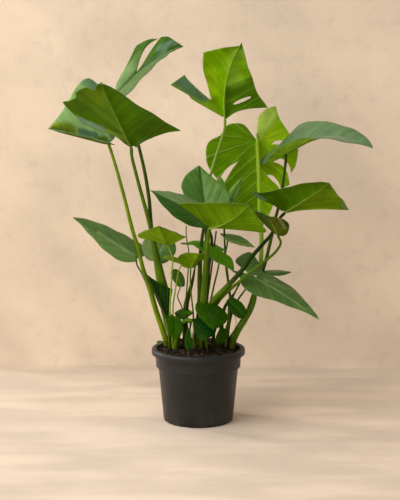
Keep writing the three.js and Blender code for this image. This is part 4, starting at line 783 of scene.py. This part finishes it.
# The stalks of each clump: the leaf that a stalk carries, its foot on the soil, its radius at the
# foot, a third of the way up and at the leaf, or more radii evenly spaced, its shade, and the points
# that it passes. Those without a leaf are bare stems, and a dry sheath, a stick and a tendril.
stalks = {
    "stalks_left_back": [
        ("leaf_far_left", (-65, 34), (7, 4.4, 3), "bright",
         [(-73, 34, 177), (-86, 29, 217), (-99, 18, 271), (-112, 6, 311), (-121, -2, 354), (-131, -4, 387),
          (-147, 4, 450), (-171, 16, 535)]),
        ("leaf_low_left", (-58, 34), (2.6, 2.2, 1.6), "green",
         [(-78, 40, 185), (-92, 34, 224), (-103, 24, 268), (-115, 22, 298), (-125, 18, 318)]),
        ("leaf_seedling", (-63, 30), (1.4, 1.1, 0.9), "pale", [(-68, 18, 158)]),
    ],
    "stalks_left": [
        ("leaf_big_left", (-47, 4), (6.5, 8.5, 12, 6, 4, 3.5, 3), "green",
         [(-63, 2, 206), (-69, -6, 259), (-78, -12, 307), (-87, -18, 358), (-96, -22, 403),
          (-109, -28, 453), (-124, -36, 513), (-130, -40, 541)]),
        ("leaf_top_left", (-48, 10), (5, 4.5, 2.6), "dark",
         [(-62, 8, 204), (-69, 0, 257), (-79, -6, 306), (-89, -12, 357), (-94, -16, 402), (-99, -12, 462),
          (-118, 0, 556), (-138, 8, 619)]),
        ("leaf_small_dark", (-50, 17), (2.4, 2, 1.6), "green",
         [(-56, 22, 191), (-68, 22, 253), (-78, 16, 302)]),
        ("leaf_small_bright", (-51, -4), (2.2, 1.8, 1.4), "pale",
         [(-57, -24, 219), (-54, -38, 281), (-52, -42, 315), (-51, -42, 341)]),
        ("leaf_olive_small", (-46, -6), (2, 1.6, 1.2), "pale",
         [(-51, -24, 231), (-44, -30, 283), (-38, -33, 314)]),
        ("leaf_hanging_left", (-58, 2), (3, 2.4, 2), "green", [(-61, -14, 192)]),
        ("leaf_ground_dark", (-40, 16), (2, 1.6, 1.4), "green", [(-38, 10, 185)]),
        ("leaf_ground_left", (-42, 0), (5, 4.5, 2.6), "bright", [(-44, -14, 185)]),
        ("leaf_ground_front", (-46, -6), (5, 5.2, 4.4), "green",
         [(-42, -16, 172), (-37, -24, 196), (-24, -31, 211)]),
        (None, (-13, -20), (0.3, 0.3, 0.3, 0.3, 3.8, 0.4), "dry",
         [(-12, -60, 187), (-12, -66, 197), (-12, -66, 205), (-11, -64, 215)]),
    ],
    "stalks_centre": [
        ("leaf_centre_front", (2, 16), (9, 7.5, 3), "green",
         [(9, -14, 229), (12, -28, 283), (15, -40, 335), (19, -54, 377)]),
        ("leaf_centre_left", (-4, 20), (7, 6, 2.6), "dark", [(3, 4, 236), (3, -10, 310), (7, -26, 373)]),
        ("leaf_centre_upright", (8, 22), (6, 5, 2.6), "dark", [(16, 10, 246), (20, 6, 308), (27, -2, 370)]),
        ("leaf_top_middle", (10, 34), (4.5, 3.6, 2.6), "tall",
         [(16, 26, 242), (18, 28, 321), (16, 34, 386), (17, 42, 446), (25, 44, 497), (43, 32, 558),
          (53, 12, 595)]),
        ("leaf_olive", (-12, 14), (2.2, 1.8, 1.4), "green",
         [(-10, 4, 209), (-15, -4, 268), (-16, -8, 298)]),
        ("leaf_arching_small", (14, 22), (2.6, 2.2, 1.6), "green",
         [(20, 14, 214), (32, 8, 277), (42, 2, 325)]),
        ("leaf_right", (2, 8), (8, 6, 2.8), "shaded",
         [(9, 0, 196), (26, -14, 242), (60, -36, 284), (84, -48, 313), (107, -36, 342), (127, -20, 362),
          (146, -6, 382), (163, -18, 417)]),
        ("leaf_folded_right", (12, 12), (4.5, 4, 2.4), "green",
         [(24, 4, 209), (38, -12, 243), (61, -32, 273), (83, -48, 294), (102, -56, 313), (141, -44, 341),
          (156, -38, 355), (163, -35, 370)]),
        ("leaf_round_left", (-16, 12), (1.8, 1.4, 1.1), "green",
         [(-27, 26, 184), (-34, 26, 228), (-42, 12, 251), (-39, -6, 267)]),
        ("leaf_ground_broad", (16, 12), (3, 2.4, 1.8), "green", [(14, -20, 200)]),
        ("leaf_ground_tip", (-10, -2), (2, 1.6, 1.2), "green", [(-14, -30, 186)]),
        (None, (-20, 20), (1.8, 1.4, 1.1), "green",
         [(-26, 10, 215), (-21, 0, 300), (-19, -10, 345), (-24, -14, 380), (-24, -20, 401)]),
        (None, (8, 22), (2.6, 2, 1.6), "dark", [(18, 8, 245), (24, 4, 290), (36, 0, 388)]),
        (None, (-8, -12), (3.2, 2.6, 1.6), "bright", [(-10, -16, 182)]),
        (None, (5, -12), (3.6, 3, 2), "green", [(7, -16, 184)]),
        (None, (17, -10), (3.2, 2.6, 1.6), "bright", [(15, -16, 180)]),
        # these short dark stems stand in for the shade between the stalks at the soil, as painted shade
        (None, (-28, 12), (4.5, 4.5, 3), "dark", [(-28, 12, 200)]),
        (None, (-15, 14), (4.5, 4.5, 3), "dark", [(-15, 12, 196)]),
        (None, (30, 12), (4.5, 4.5, 3), "dark", [(32, 6, 192)]),
        (None, (-26, 18), (6, 7.5, 1.6), "dark",
         [(-25, 14, 232), (-18, 10, 262), (-12, 6, 285), (-6, 2, 318)]),
    ],
    "stalks_right": [
        ("leaf_hanging_back", (62, 39), (5, 4.8, 4), "pale",
         [(97, 46, 197), (112, 46, 243), (126, 44, 302), (129, 42, 364), (126, 42, 418), (124, 44, 475),
          (122, 48, 517)]),
        ("leaf_arching_right", (62, 36), (4.5, 4, 2.6), "dark",
         [(95, 32, 203), (113, 28, 250), (133, 25, 309), (147, 22, 367), (156, 20, 412), (163, 18, 440),
          (172, 14, 497)]),
        ("leaf_low_right", (69, 8), (6, 5.4, 3.4), "green",
         [(79, 6, 177), (95, 2, 205), (108, -6, 232), (114, -12, 258), (113, -13, 282)]),
        ("leaf_centre_back", (50, 38), (3.2, 2.6, 1.8), "dark",
         [(67, 32, 220), (63, 32, 266), (56, 32, 324), (53, 28, 376)]),
        ("leaf_thin_right", (64, 30), (2.4, 2, 1.4), "green",
         [(101, 26, 226), (115, 18, 265), (129, 12, 290)]),
        ("leaf_narrow_back", (50, 36), (3, 2.2, 1.6), "green",
         [(66, 30, 221), (62, 28, 267), (55, 24, 335), (58, 20, 355)]),
        ("leaf_ground_right", (56, 26), (3, 2.4, 1.8), "green", [(61, 2, 200)]),
        ("leaf_ground_short", (50, 28), (2.4, 2, 1.6), "green", [(50, 4, 176)]),
        # a short dark stem that stands in for the shade between the stalks, as painted shade
        (None, (44, 20), (4, 4, 2.6), "dark", [(46, 14, 196)]),
        (None, (54, 30), (3, 2.6, 1.8), "dark", [(64, 16, 215), (70, 6, 252), (84, 0, 282)]),
        (None, (60, 30), (3, 2.4, 1.8), "dark", [(68, 14, 215), (80, 4, 246), (96, 0, 270)]),
        (None, (48, 26), (4, 5, 2), "dark", [(52, 10, 224), (60, 2, 244), (74, -8, 264)]),
        (None, (56, 15), (1.2, 1.1, 0.9), "dry", [(57, 12, 175)]),
        (None, (66, 14), (0.8, 0.7, 0.5), "pale",
         [(70, 6, 172), (75, 2, 192), (77, 0, 204), (73, -2, 216)]),
    ],
}


def stalkSkin(name, shades):
    # waxy, with fine streaks along the stalk, and browner where it leaves the soil
    material, tree, shader, coords = startMaterial("stalk " + name, {
        "Specular IOR Level": 0.2, "Specular Tint": (0.9, 1.0, 0.5, 1)})
    streaks = clouds(tree, stretched(tree, coords, (420, 420, 16)), 1.0, 3)
    patches = clouds(tree, coords, 14, 3)
    colour = mixColour(tree, ramp(tree, patches, 0.35, 0.65), linear(*shades[0]), linear(*shades[1]))
    colour = shaded(tree, colour, ramp(tree, streaks, 0.3, 0.7, 0.78, 1.2))
    height = heightOf(tree, coords)
    if len(shades) > 2:
        colour = mixColour(tree, ramp(tree, height, shades[3], shades[4]), colour, linear(*shades[2]))
    height = calc(tree, "MULTIPLY_ADD", patches, 0.02, height)
    earthy = ramp(tree, height, *stalkForm["earthy"], 0.55, 0.0)
    colour = mixColour(tree, earthy, colour, linear(*stalkForm["earthColour"]))
    feed(tree, shader.inputs["Base Color"], colour)
    feed(tree, shader.inputs["Roughness"], ramp(tree, patches, 0.3, 0.7, 0.34, 0.5))
    bumped(tree, shader, streaks, 0.25, 0.5)
    return material


def stalkRadii(points, radius):
    # a radius for each point, by its way along the stalk
    lengths = [0.0]
    for here, there in zip(points, points[1:]):
        lengths.append(lengths[-1] + (there - here).length)
    foot, third, leafEnd = radius[0], radius[1], radius[-1]
    if len(radius) == 3:
        radius = (foot, third, (third + leafEnd) / 2, leafEnd)
    radii = []
    for length in lengths:
        way = (len(radius) - 1) * length / lengths[-1]
        step = min(int(way), len(radius) - 2)
        radii.append(radius[step] + (radius[step + 1] - radius[step]) * (way - step))
    return radii


def makeStalk(row, skinOf):
    leafName, foot, radius, shade, via = row
    soil = stalkForm["soil"]
    points = [Vector(point) for point in ((*foot, soil - stalkForm["sunk"]), (*foot, soil), *via)]
    if not leafName:
        return makeTube("bare stalk", points, stalkRadii(points, radius), skinOf[shade])
    joint = Vector(leaves[leafName]["joint"])
    points += [points[-1].lerp(joint, stalkForm["jointWay"]), joint]
    radii = stalkRadii(points, radius)
    radii[-2] *= stalkForm["swelling"]
    return makeTube(leafName + " stalk", points, radii, skinOf[shade])


potForm = {
    "height": 0.150,
    "footRadius": 0.071,
    "bodyRadius": 0.0815,  # at the top of the body
    "collarRadius": 0.086,
    "collarBottom": 0.111,
    "rimRadius": 0.095,
    "rimDepth": 0.0125,
    "rimRoof": 0.0065,
    "wall": 0.0022,
    "sides": 128,
    "rounding": 0.0006,
    "sharpAngle": 40,  # edges sharper than this, in degrees, are rounded
    "smoothAngle": 32,
    "drainHoles": 8,
    "drainSize": (0.014, 0.013, 0.009),
    "drainRounding": 0.002,
}


def potSkin():
    # moulded plastic: satin, with a fine grain, dust low down and a few scuffs
    material, tree, shader, coords = startMaterial("pot plastic", {"Specular IOR Level": 0.34})
    grain = clouds(tree, coords, 1400, 2)
    cloudy = clouds(tree, coords, 16, 5, 0.6)
    scuffs = clouds(tree, stretched(tree, coords, (60, 60, 900)), 1.0, 4)
    colour = mixColour(tree, ramp(tree, cloudy, 0.35, 0.7), linear(27, 28, 28), linear(36, 37, 37))
    low = ramp(tree, heightOf(tree, coords), 0.0, 0.05, 0.5, 0.0)
    dust = calc(tree, "MULTIPLY", low, ramp(tree, cloudy, 0.4, 0.65))
    colour = mixColour(tree, dust, colour, linear(62, 60, 56))
    colour = mixColour(tree, ramp(tree, scuffs, 0.66, 0.8, 0.0, 0.25), colour, linear(96, 92, 88))
    feed(tree, shader.inputs["Base Color"], colour)
    feed(tree, shader.inputs["Roughness"], ramp(tree, cloudy, 0.3, 0.7, 0.38, 0.52))
    bumped(tree, shader, calc(tree, "MULTIPLY_ADD", scuffs, 0.3, grain), 0.12, 0.4)
    return material


def raiseProfile(profile):
    # a disc drawn up ring by ring through (radius, height), in edit mode
    lastRadius, lastHeight = profile[0]
    for radius, height in profile[1:]:
        bpy.ops.mesh.extrude_region_move(TRANSFORM_OT_translate={"value": (0, 0, height - lastHeight)})
        share = radius / lastRadius
        bpy.ops.transform.resize(value=(share, share, 1), center_override=(0, 0, height))
        lastRadius, lastHeight = radius, height


def solidOf(profile, sides):
    # the disc at the start of the profile, drawn up along the rest of it
    radius, height = profile[0]
    bpy.ops.mesh.primitive_circle_add(vertices=sides, radius=radius, fill_type="NGON",
                                      location=(0, 0, height))
    piece = bpy.context.object
    bpy.ops.object.transform_apply(location=True, rotation=False, scale=False)
    bpy.ops.object.mode_set(mode="EDIT")
    raiseProfile(profile)
    bpy.ops.mesh.select_all(action="SELECT")
    bpy.ops.mesh.normals_make_consistent(inside=False)
    bpy.ops.object.mode_set(mode="OBJECT")
    return piece


def makePot():
    form = potForm
    foot, body, collar, rim = (form[part + "Radius"] for part in ("foot", "body", "collar", "rim"))
    wall, top, shoulder = form["wall"], form["height"], form["collarBottom"]
    rimBottom = top - form["rimDepth"]
    roof = top - form["rimRoof"]
    slope = (body - foot) / shoulder
    # up the outside, round the rim and down the inside, with small roundings
    profile = [
        (foot - 0.0035, 0.0),
        (foot - 0.0010, 0.0008),
        (foot, 0.0030),
        (body - 0.0004, shoulder - 0.0006),
        (body + 0.0006, shoulder),
        (collar - 0.0012, shoulder),
        (collar - 0.0002, shoulder + 0.0012),
        (collar + 0.0012, roof - 0.0006),
        (rim - 2 * wall, roof),
        (rim - wall, roof - 0.0015),
        (rim - wall, rimBottom + 0.0006),
        (rim - 0.5 * wall, rimBottom),
        (rim - 0.0002, rimBottom + 0.0008),
        (rim, rimBottom + 0.0030),
        (rim, top - 0.0042),
        (rim - 0.0012, top - 0.0014),
        (rim - 0.0040, top),
        (collar + 0.0015, top),
        (collar - 0.0010, top - 0.0012),
        (collar - wall, top - 0.0036),
        (collar - wall, shoulder + wall),
        (body - wall, shoulder),
        (foot + slope * wall - wall, wall),
    ]
    pot = solidOf(profile, form["sides"])
    applyModifier(pot, "BEVEL", width=form["rounding"], segments=2, limit_method="ANGLE",
                  angle_limit=math.radians(form["sharpAngle"]))
    cutters = []
    for hole in range(form["drainHoles"]):
        angle = (hole + 0.5) * 2 * math.pi / form["drainHoles"]
        place = (foot * math.cos(angle), foot * math.sin(angle), 0)
        bpy.ops.mesh.primitive_cube_add(size=1, location=place, rotation=(0, 0, angle),
                                        scale=form["drainSize"])
        cutter = bpy.context.object
        bpy.ops.object.transform_apply(location=True, rotation=True, scale=True)
        applyModifier(cutter, "BEVEL", width=form["drainRounding"], segments=3)
        cutters.append(cutter)
    cutter = joined(cutters, "drainCutter")
    applyModifier(pot, "BOOLEAN", operation="DIFFERENCE", object=cutter, solver="EXACT")
    bpy.data.objects.remove(cutter)
    select(pot)
    bpy.ops.object.shade_smooth_by_angle(angle=math.radians(form["smoothAngle"]))
    pot.data.materials.append(potSkin())
    pot.name = pot.data.name = "nursery_pot"
    settle(pot, slotOf["pot"], "pot")


soilForm = {
    "edge": 0.0835,  # radius at the top
    "bodyEdge": 0.0788,
    "footEdge": 0.0685,
    "clearance": 0.0006,  # over the pot's bottom and shoulder
    "edgeHeight": 0.1430,
    "topHeight": 0.1490,
    "rings": 38,
    "ringRise": 0.0001,
    "sides": 120,
    "lumps": 0.0022,
    "lie": (-0.0005, 0.0012),  # lowest and highest place of a loose grain over the soil
    "tilt": 0.35,
    "grow": (0.5, 1.25),
    "long": (0.7, 1.4),
    "wide": (0.7, 1.2),
    "chips": 210,  # of each kind
    "chipSize": (0.0085, 0.0042, 0.0018),
    "chipReach": 0.079,
    "crumbs": 420,
    "crumbSize": 0.0014,
    "crumbReach": 0.080,
    "seed": 5,
}

# A dark colour, a light one, and how many of their patches fit in a metre.
soilShades = {
    "potting soil": ((12, 8, 3), (42, 30, 17), 70),
    "bark": ((32, 21, 10), (92, 68, 42), 60),
    "wet bark": ((14, 9, 4), (42, 30, 18), 80),
    "crumbs": ((14, 10, 5), (60, 45, 30), 90),
}


def soilSkin(name):
    dark, light, scale = soilShades[name]
    material, tree, shader, coords = startMaterial(name, {"Specular IOR Level": 0.25})
    patches = clouds(tree, coords, scale, 6, 0.7)
    fibres = clouds(tree, stretched(tree, coords, (300, 900, 500)), 1.0, 4)
    colour = mixColour(tree, ramp(tree, patches, 0.38, 0.68), linear(*dark), linear(*light))
    colour = shaded(tree, colour, ramp(tree, fibres, 0.3, 0.7, 0.6, 1.3))
    feed(tree, shader.inputs["Base Color"], colour)
    feed(tree, shader.inputs["Roughness"], ramp(tree, patches, 0.3, 0.7, 0.75, 0.95))
    bumped(tree, shader, calc(tree, "ADD", fibres, patches), 0.6, 1.2)
    return material


def soilHeight(x, y):
    # a low mound with lumps
    share = min(1.0, math.hypot(x, y) / soilForm["edge"])
    mound = soilForm["edgeHeight"] + (soilForm["topHeight"] - soilForm["edgeHeight"]) * (1 - share ** 2)
    coarse = noise.noise((x * 90, y * 90, 3.1))
    fine = noise.noise((x * 320, y * 320, 8.7))
    return mound + soilForm["lumps"] * (0.7 * coarse + 0.45 * fine) * min(1, 6 * (1 - share) + 0.25)


def scatter(maker, count, draw, reach, skin):
    # one shape copied, turned and sized by chance, lying on the soil
    base = maker()
    base.data.materials.append(skin)
    copies = []
    for _ in range(count):
        distance = reach * math.sqrt(draw.random())
        turn = draw.uniform(0, 2 * math.pi)
        x, y = distance * math.cos(turn), distance * math.sin(turn)
        copy = base.copy()
        copy.data = base.data.copy()
        bpy.context.collection.objects.link(copy)
        copy.location = (x, y, soilHeight(x, y) + draw.uniform(*soilForm["lie"]))
        copy.rotation_euler = (draw.gauss(0, soilForm["tilt"]), draw.gauss(0, soilForm["tilt"]),
                               draw.uniform(0, 6.28))
        grow = draw.uniform(*soilForm["grow"])
        copy.scale = (grow * draw.uniform(*soilForm["long"]), grow * draw.uniform(*soilForm["wide"]), grow)
        copies.append(copy)
    bpy.data.objects.remove(base)
    select(*copies)
    bpy.ops.object.transform_apply(location=True, rotation=True, scale=True)
    return copies


def roughened(offset, seed, cuts=0):
    # the piece just added, cut up and with its corners moved by chance
    piece = bpy.context.object
    bpy.ops.object.mode_set(mode="EDIT")
    if cuts:
        bpy.ops.mesh.subdivide(number_cuts=cuts)
    bpy.ops.transform.vertex_random(offset=offset, seed=seed)
    bpy.ops.object.mode_set(mode="OBJECT")
    return piece


def barkChip():
    bpy.ops.mesh.primitive_cube_add(size=1, scale=soilForm["chipSize"])
    bpy.ops.object.transform_apply(location=False, rotation=False, scale=True)
    return roughened(offset=0.0007, seed=3, cuts=1)


def crumb():
    bpy.ops.mesh.primitive_ico_sphere_add(subdivisions=1, radius=soilForm["crumbSize"])
    return roughened(offset=0.0004, seed=7)


def makeSoil():
    form = soilForm
    draw = random.Random(form["seed"])
    shoulder = potForm["collarBottom"]
    bottom = potForm["wall"] + form["clearance"]
    neck = shoulder + potForm["wall"] + form["clearance"]
    profile = [(form["footEdge"], bottom), (form["bodyEdge"], shoulder), (form["edge"], neck),
               (form["edge"], form["edgeHeight"])]
    profile += [(form["edge"] * (1 - ring / form["rings"]), form["edgeHeight"] + form["ringRise"] * ring)
                for ring in range(1, form["rings"])]
    soil = solidOf(profile, form["sides"])
    for vertex in soil.data.vertices:
        if vertex.co.z > form["edgeHeight"] - form["ringRise"]:
            vertex.co.z = soilHeight(vertex.co.x, vertex.co.y)
    bpy.ops.object.shade_smooth()
    soil.data.materials.append(soilSkin("potting soil"))
    soil.name = soil.data.name = "potting_soil"
    settle(soil, slotOf["soil"], "soil")
    chips = []
    for kind in ("bark", "wet bark"):
        chips += scatter(barkChip, form["chips"], draw, form["chipReach"], soilSkin(kind))
    settle(joined(chips, "bark_chips"), slotOf["soil"])
    crumbs = scatter(crumb, form["crumbs"], draw, form["crumbReach"], soilSkin("crumbs"))
    settle(joined(crumbs, "soil_crumbs"), slotOf["soil"])


stageForm = {
    "wall": 0.46,  # how far the backdrop stands behind the pot's axis
    "wallStart": -0.58,  # where it begins on the left
    "half": 3.0,  # half the width of the floor and the backdrop
    "below": 0.5,  # how far the backdrop goes on under the floor
    # streakTurn, floorStreaks and wallStreaks shape painted streaks of light; floorRough and wallRough set
    # how strongly the broad painted streaks and the painted shade in the plaster's dents show, and its bump
    "streakTurn": 0.85,
    "floorColour": (212, 194, 176),
    "floorStreaks": (3.5, 12, 1),
    "floorRough": 0.5,
    "wallColour": (225, 206, 184),
    "wallStreaks": (2.2, 2.6, 1),
    "wallRough": 1,
}


def stageSkin(surface):
    # soft painted streaks of light, broad ones running down to the right, and plaster with small dents,
    # darker in them as painted shade
    rough = stageForm[surface + "Rough"]
    sockets = {"Roughness": 0.85, "Specular IOR Level": 0.15}
    material, tree, shader, coords = startMaterial("pale " + surface, sockets)
    streaks = stretched(tree, coords, stageForm[surface + "Streaks"])
    soft = ramp(tree, clouds(tree, streaks, 1.0, 3, 0.5), 0.38, 0.66, 0.9, 1.05)
    turn = (0, 0, stageForm["streakTurn"])
    turned = addNode(tree, "Mapping", {"Vector": coords, "Rotation": turn}).outputs[0]
    broad = clouds(tree, stretched(tree, turned, (1.6, 5, 1)), 1.0, 2, 0.4)
    soft = calc(tree, "MULTIPLY", soft, ramp(tree, broad, 0.38, 0.62, 1 - 0.07 * rough, 1 + 0.06 * rough))
    dents = clouds(tree, coords, 24, 7, 0.65)
    # painted shade in the plaster's dents
    patches = calc(tree, "MULTIPLY", soft, ramp(tree, dents, 0.3, 0.5, 1 - 0.08 * rough, 1.0))
    colour = linear(*stageForm[surface + "Colour"])
    feed(tree, shader.inputs["Base Color"], shaded(tree, colour, patches))
    bumped(tree, shader, dents, 0.5 * rough, 4)
    return material


def addPlane(name, place, tilt, surface):
    bpy.ops.mesh.primitive_plane_add(size=2 * stageForm["half"], location=place, rotation=(tilt, 0, 0))
    plane = bpy.context.object
    plane.name = name
    plane.data.materials.append(stageSkin(surface))
    return plane


def makeStage():
    back, half = stageForm["wall"], stageForm["half"]
    floor = addPlane("floor", (0, back - half, 0), 0, "floor")
    place = (stageForm["wallStart"] + half, back, half - stageForm["below"])
    wall = addPlane("backdrop", place, math.pi / 2, "wall")


# Where each light stands, what it looks at, how wide it is in metres, its watts and its colour.
lights = {
    "keyLight": ((-3.2, 1.6, 1.6), (0, 0, 0.3), 0.55, 52, (1.0, 0.95, 0.87)),
    "softLight": ((-2.2, -1.6, 2.6), (0, 0.1, 0.35), 3.0, 88, (1.0, 0.98, 0.95)),
}
skyForm = {"colour": (1.0, 0.97, 0.93, 1), "left": 1.15, "right": 0.45}


def addLight(name, place, target, size, power, colour):
    bpy.ops.object.light_add(type="AREA", location=place)
    light = bpy.context.object
    light.name = name
    light.data.shape = "DISK"
    light.data.size = size
    light.data.energy = power
    light.data.color = colour
    light.rotation_euler = (Vector(target) - Vector(place)).to_track_quat("-Z", "Y").to_euler()


def makeLights():
    for name, light in lights.items():
        addLight(name, *light)
    # the sky is brighter on the left, as a room is on the side of its window
    world = bpy.data.worlds.new("softRoom")
    bpy.context.scene.world = world
    world.use_nodes = True
    tree = world.node_tree
    sky = tree.nodes["Background"]
    sky.inputs["Color"].default_value = skyForm["colour"]
    ways = addNode(tree, "TexCoord").outputs["Generated"]
    toRight = addNode(tree, "SeparateXYZ", {"Vector": ways}).outputs["X"]
    feed(tree, sky.inputs["Strength"], ramp(tree, toRight, -1, 1, skyForm["left"], skyForm["right"]))


cameraForm = {"place": (0.0034, -2.351, 0.684), "pitch": 8.1, "lens": 85, "sensor": 36}


def makeCamera():
    tilt = math.radians(90 - cameraForm["pitch"])
    bpy.ops.object.camera_add(location=cameraForm["place"], rotation=(tilt, 0, 0))
    camera = bpy.context.object
    camera.data.lens = cameraForm["lens"]
    camera.data.sensor_width = cameraForm["sensor"]
    bpy.context.scene.camera = camera
    bpy.context.scene.view_settings.view_transform = "Standard"


makeCamera()
makeStage()
makeLights()
print("stage, lights and camera ready")

makePot()
makeSoil()
print("pot and soil ready")

skinOf = {name: stalkSkin(name, shades) for name, shades in stalkShades.items()}
for clump, rows in stalks.items():
    tubes = [makeStalk(row, skinOf) for row in rows]
    piece = joined(tubes, clump.replace("stalks", "clump"))
    settle(piece, slotOf[clump], clump)
print("stalks ready")

stalkEnds = {row[0]: row[2][-1] for rows in stalks.values() for row in rows}
for seed, (node, leaf) in enumerate(leaves.items()):
    blade, ribs = makeBlade(node, leaf, seed)
    rib = makeRib(node, leaf, ribs, stalkEnds[node])
    piece = joined([blade, rib], plainName(node) + "_leaf")
    settle(piece, slotOf[node], node)
print("leaves ready:", len(leaves))
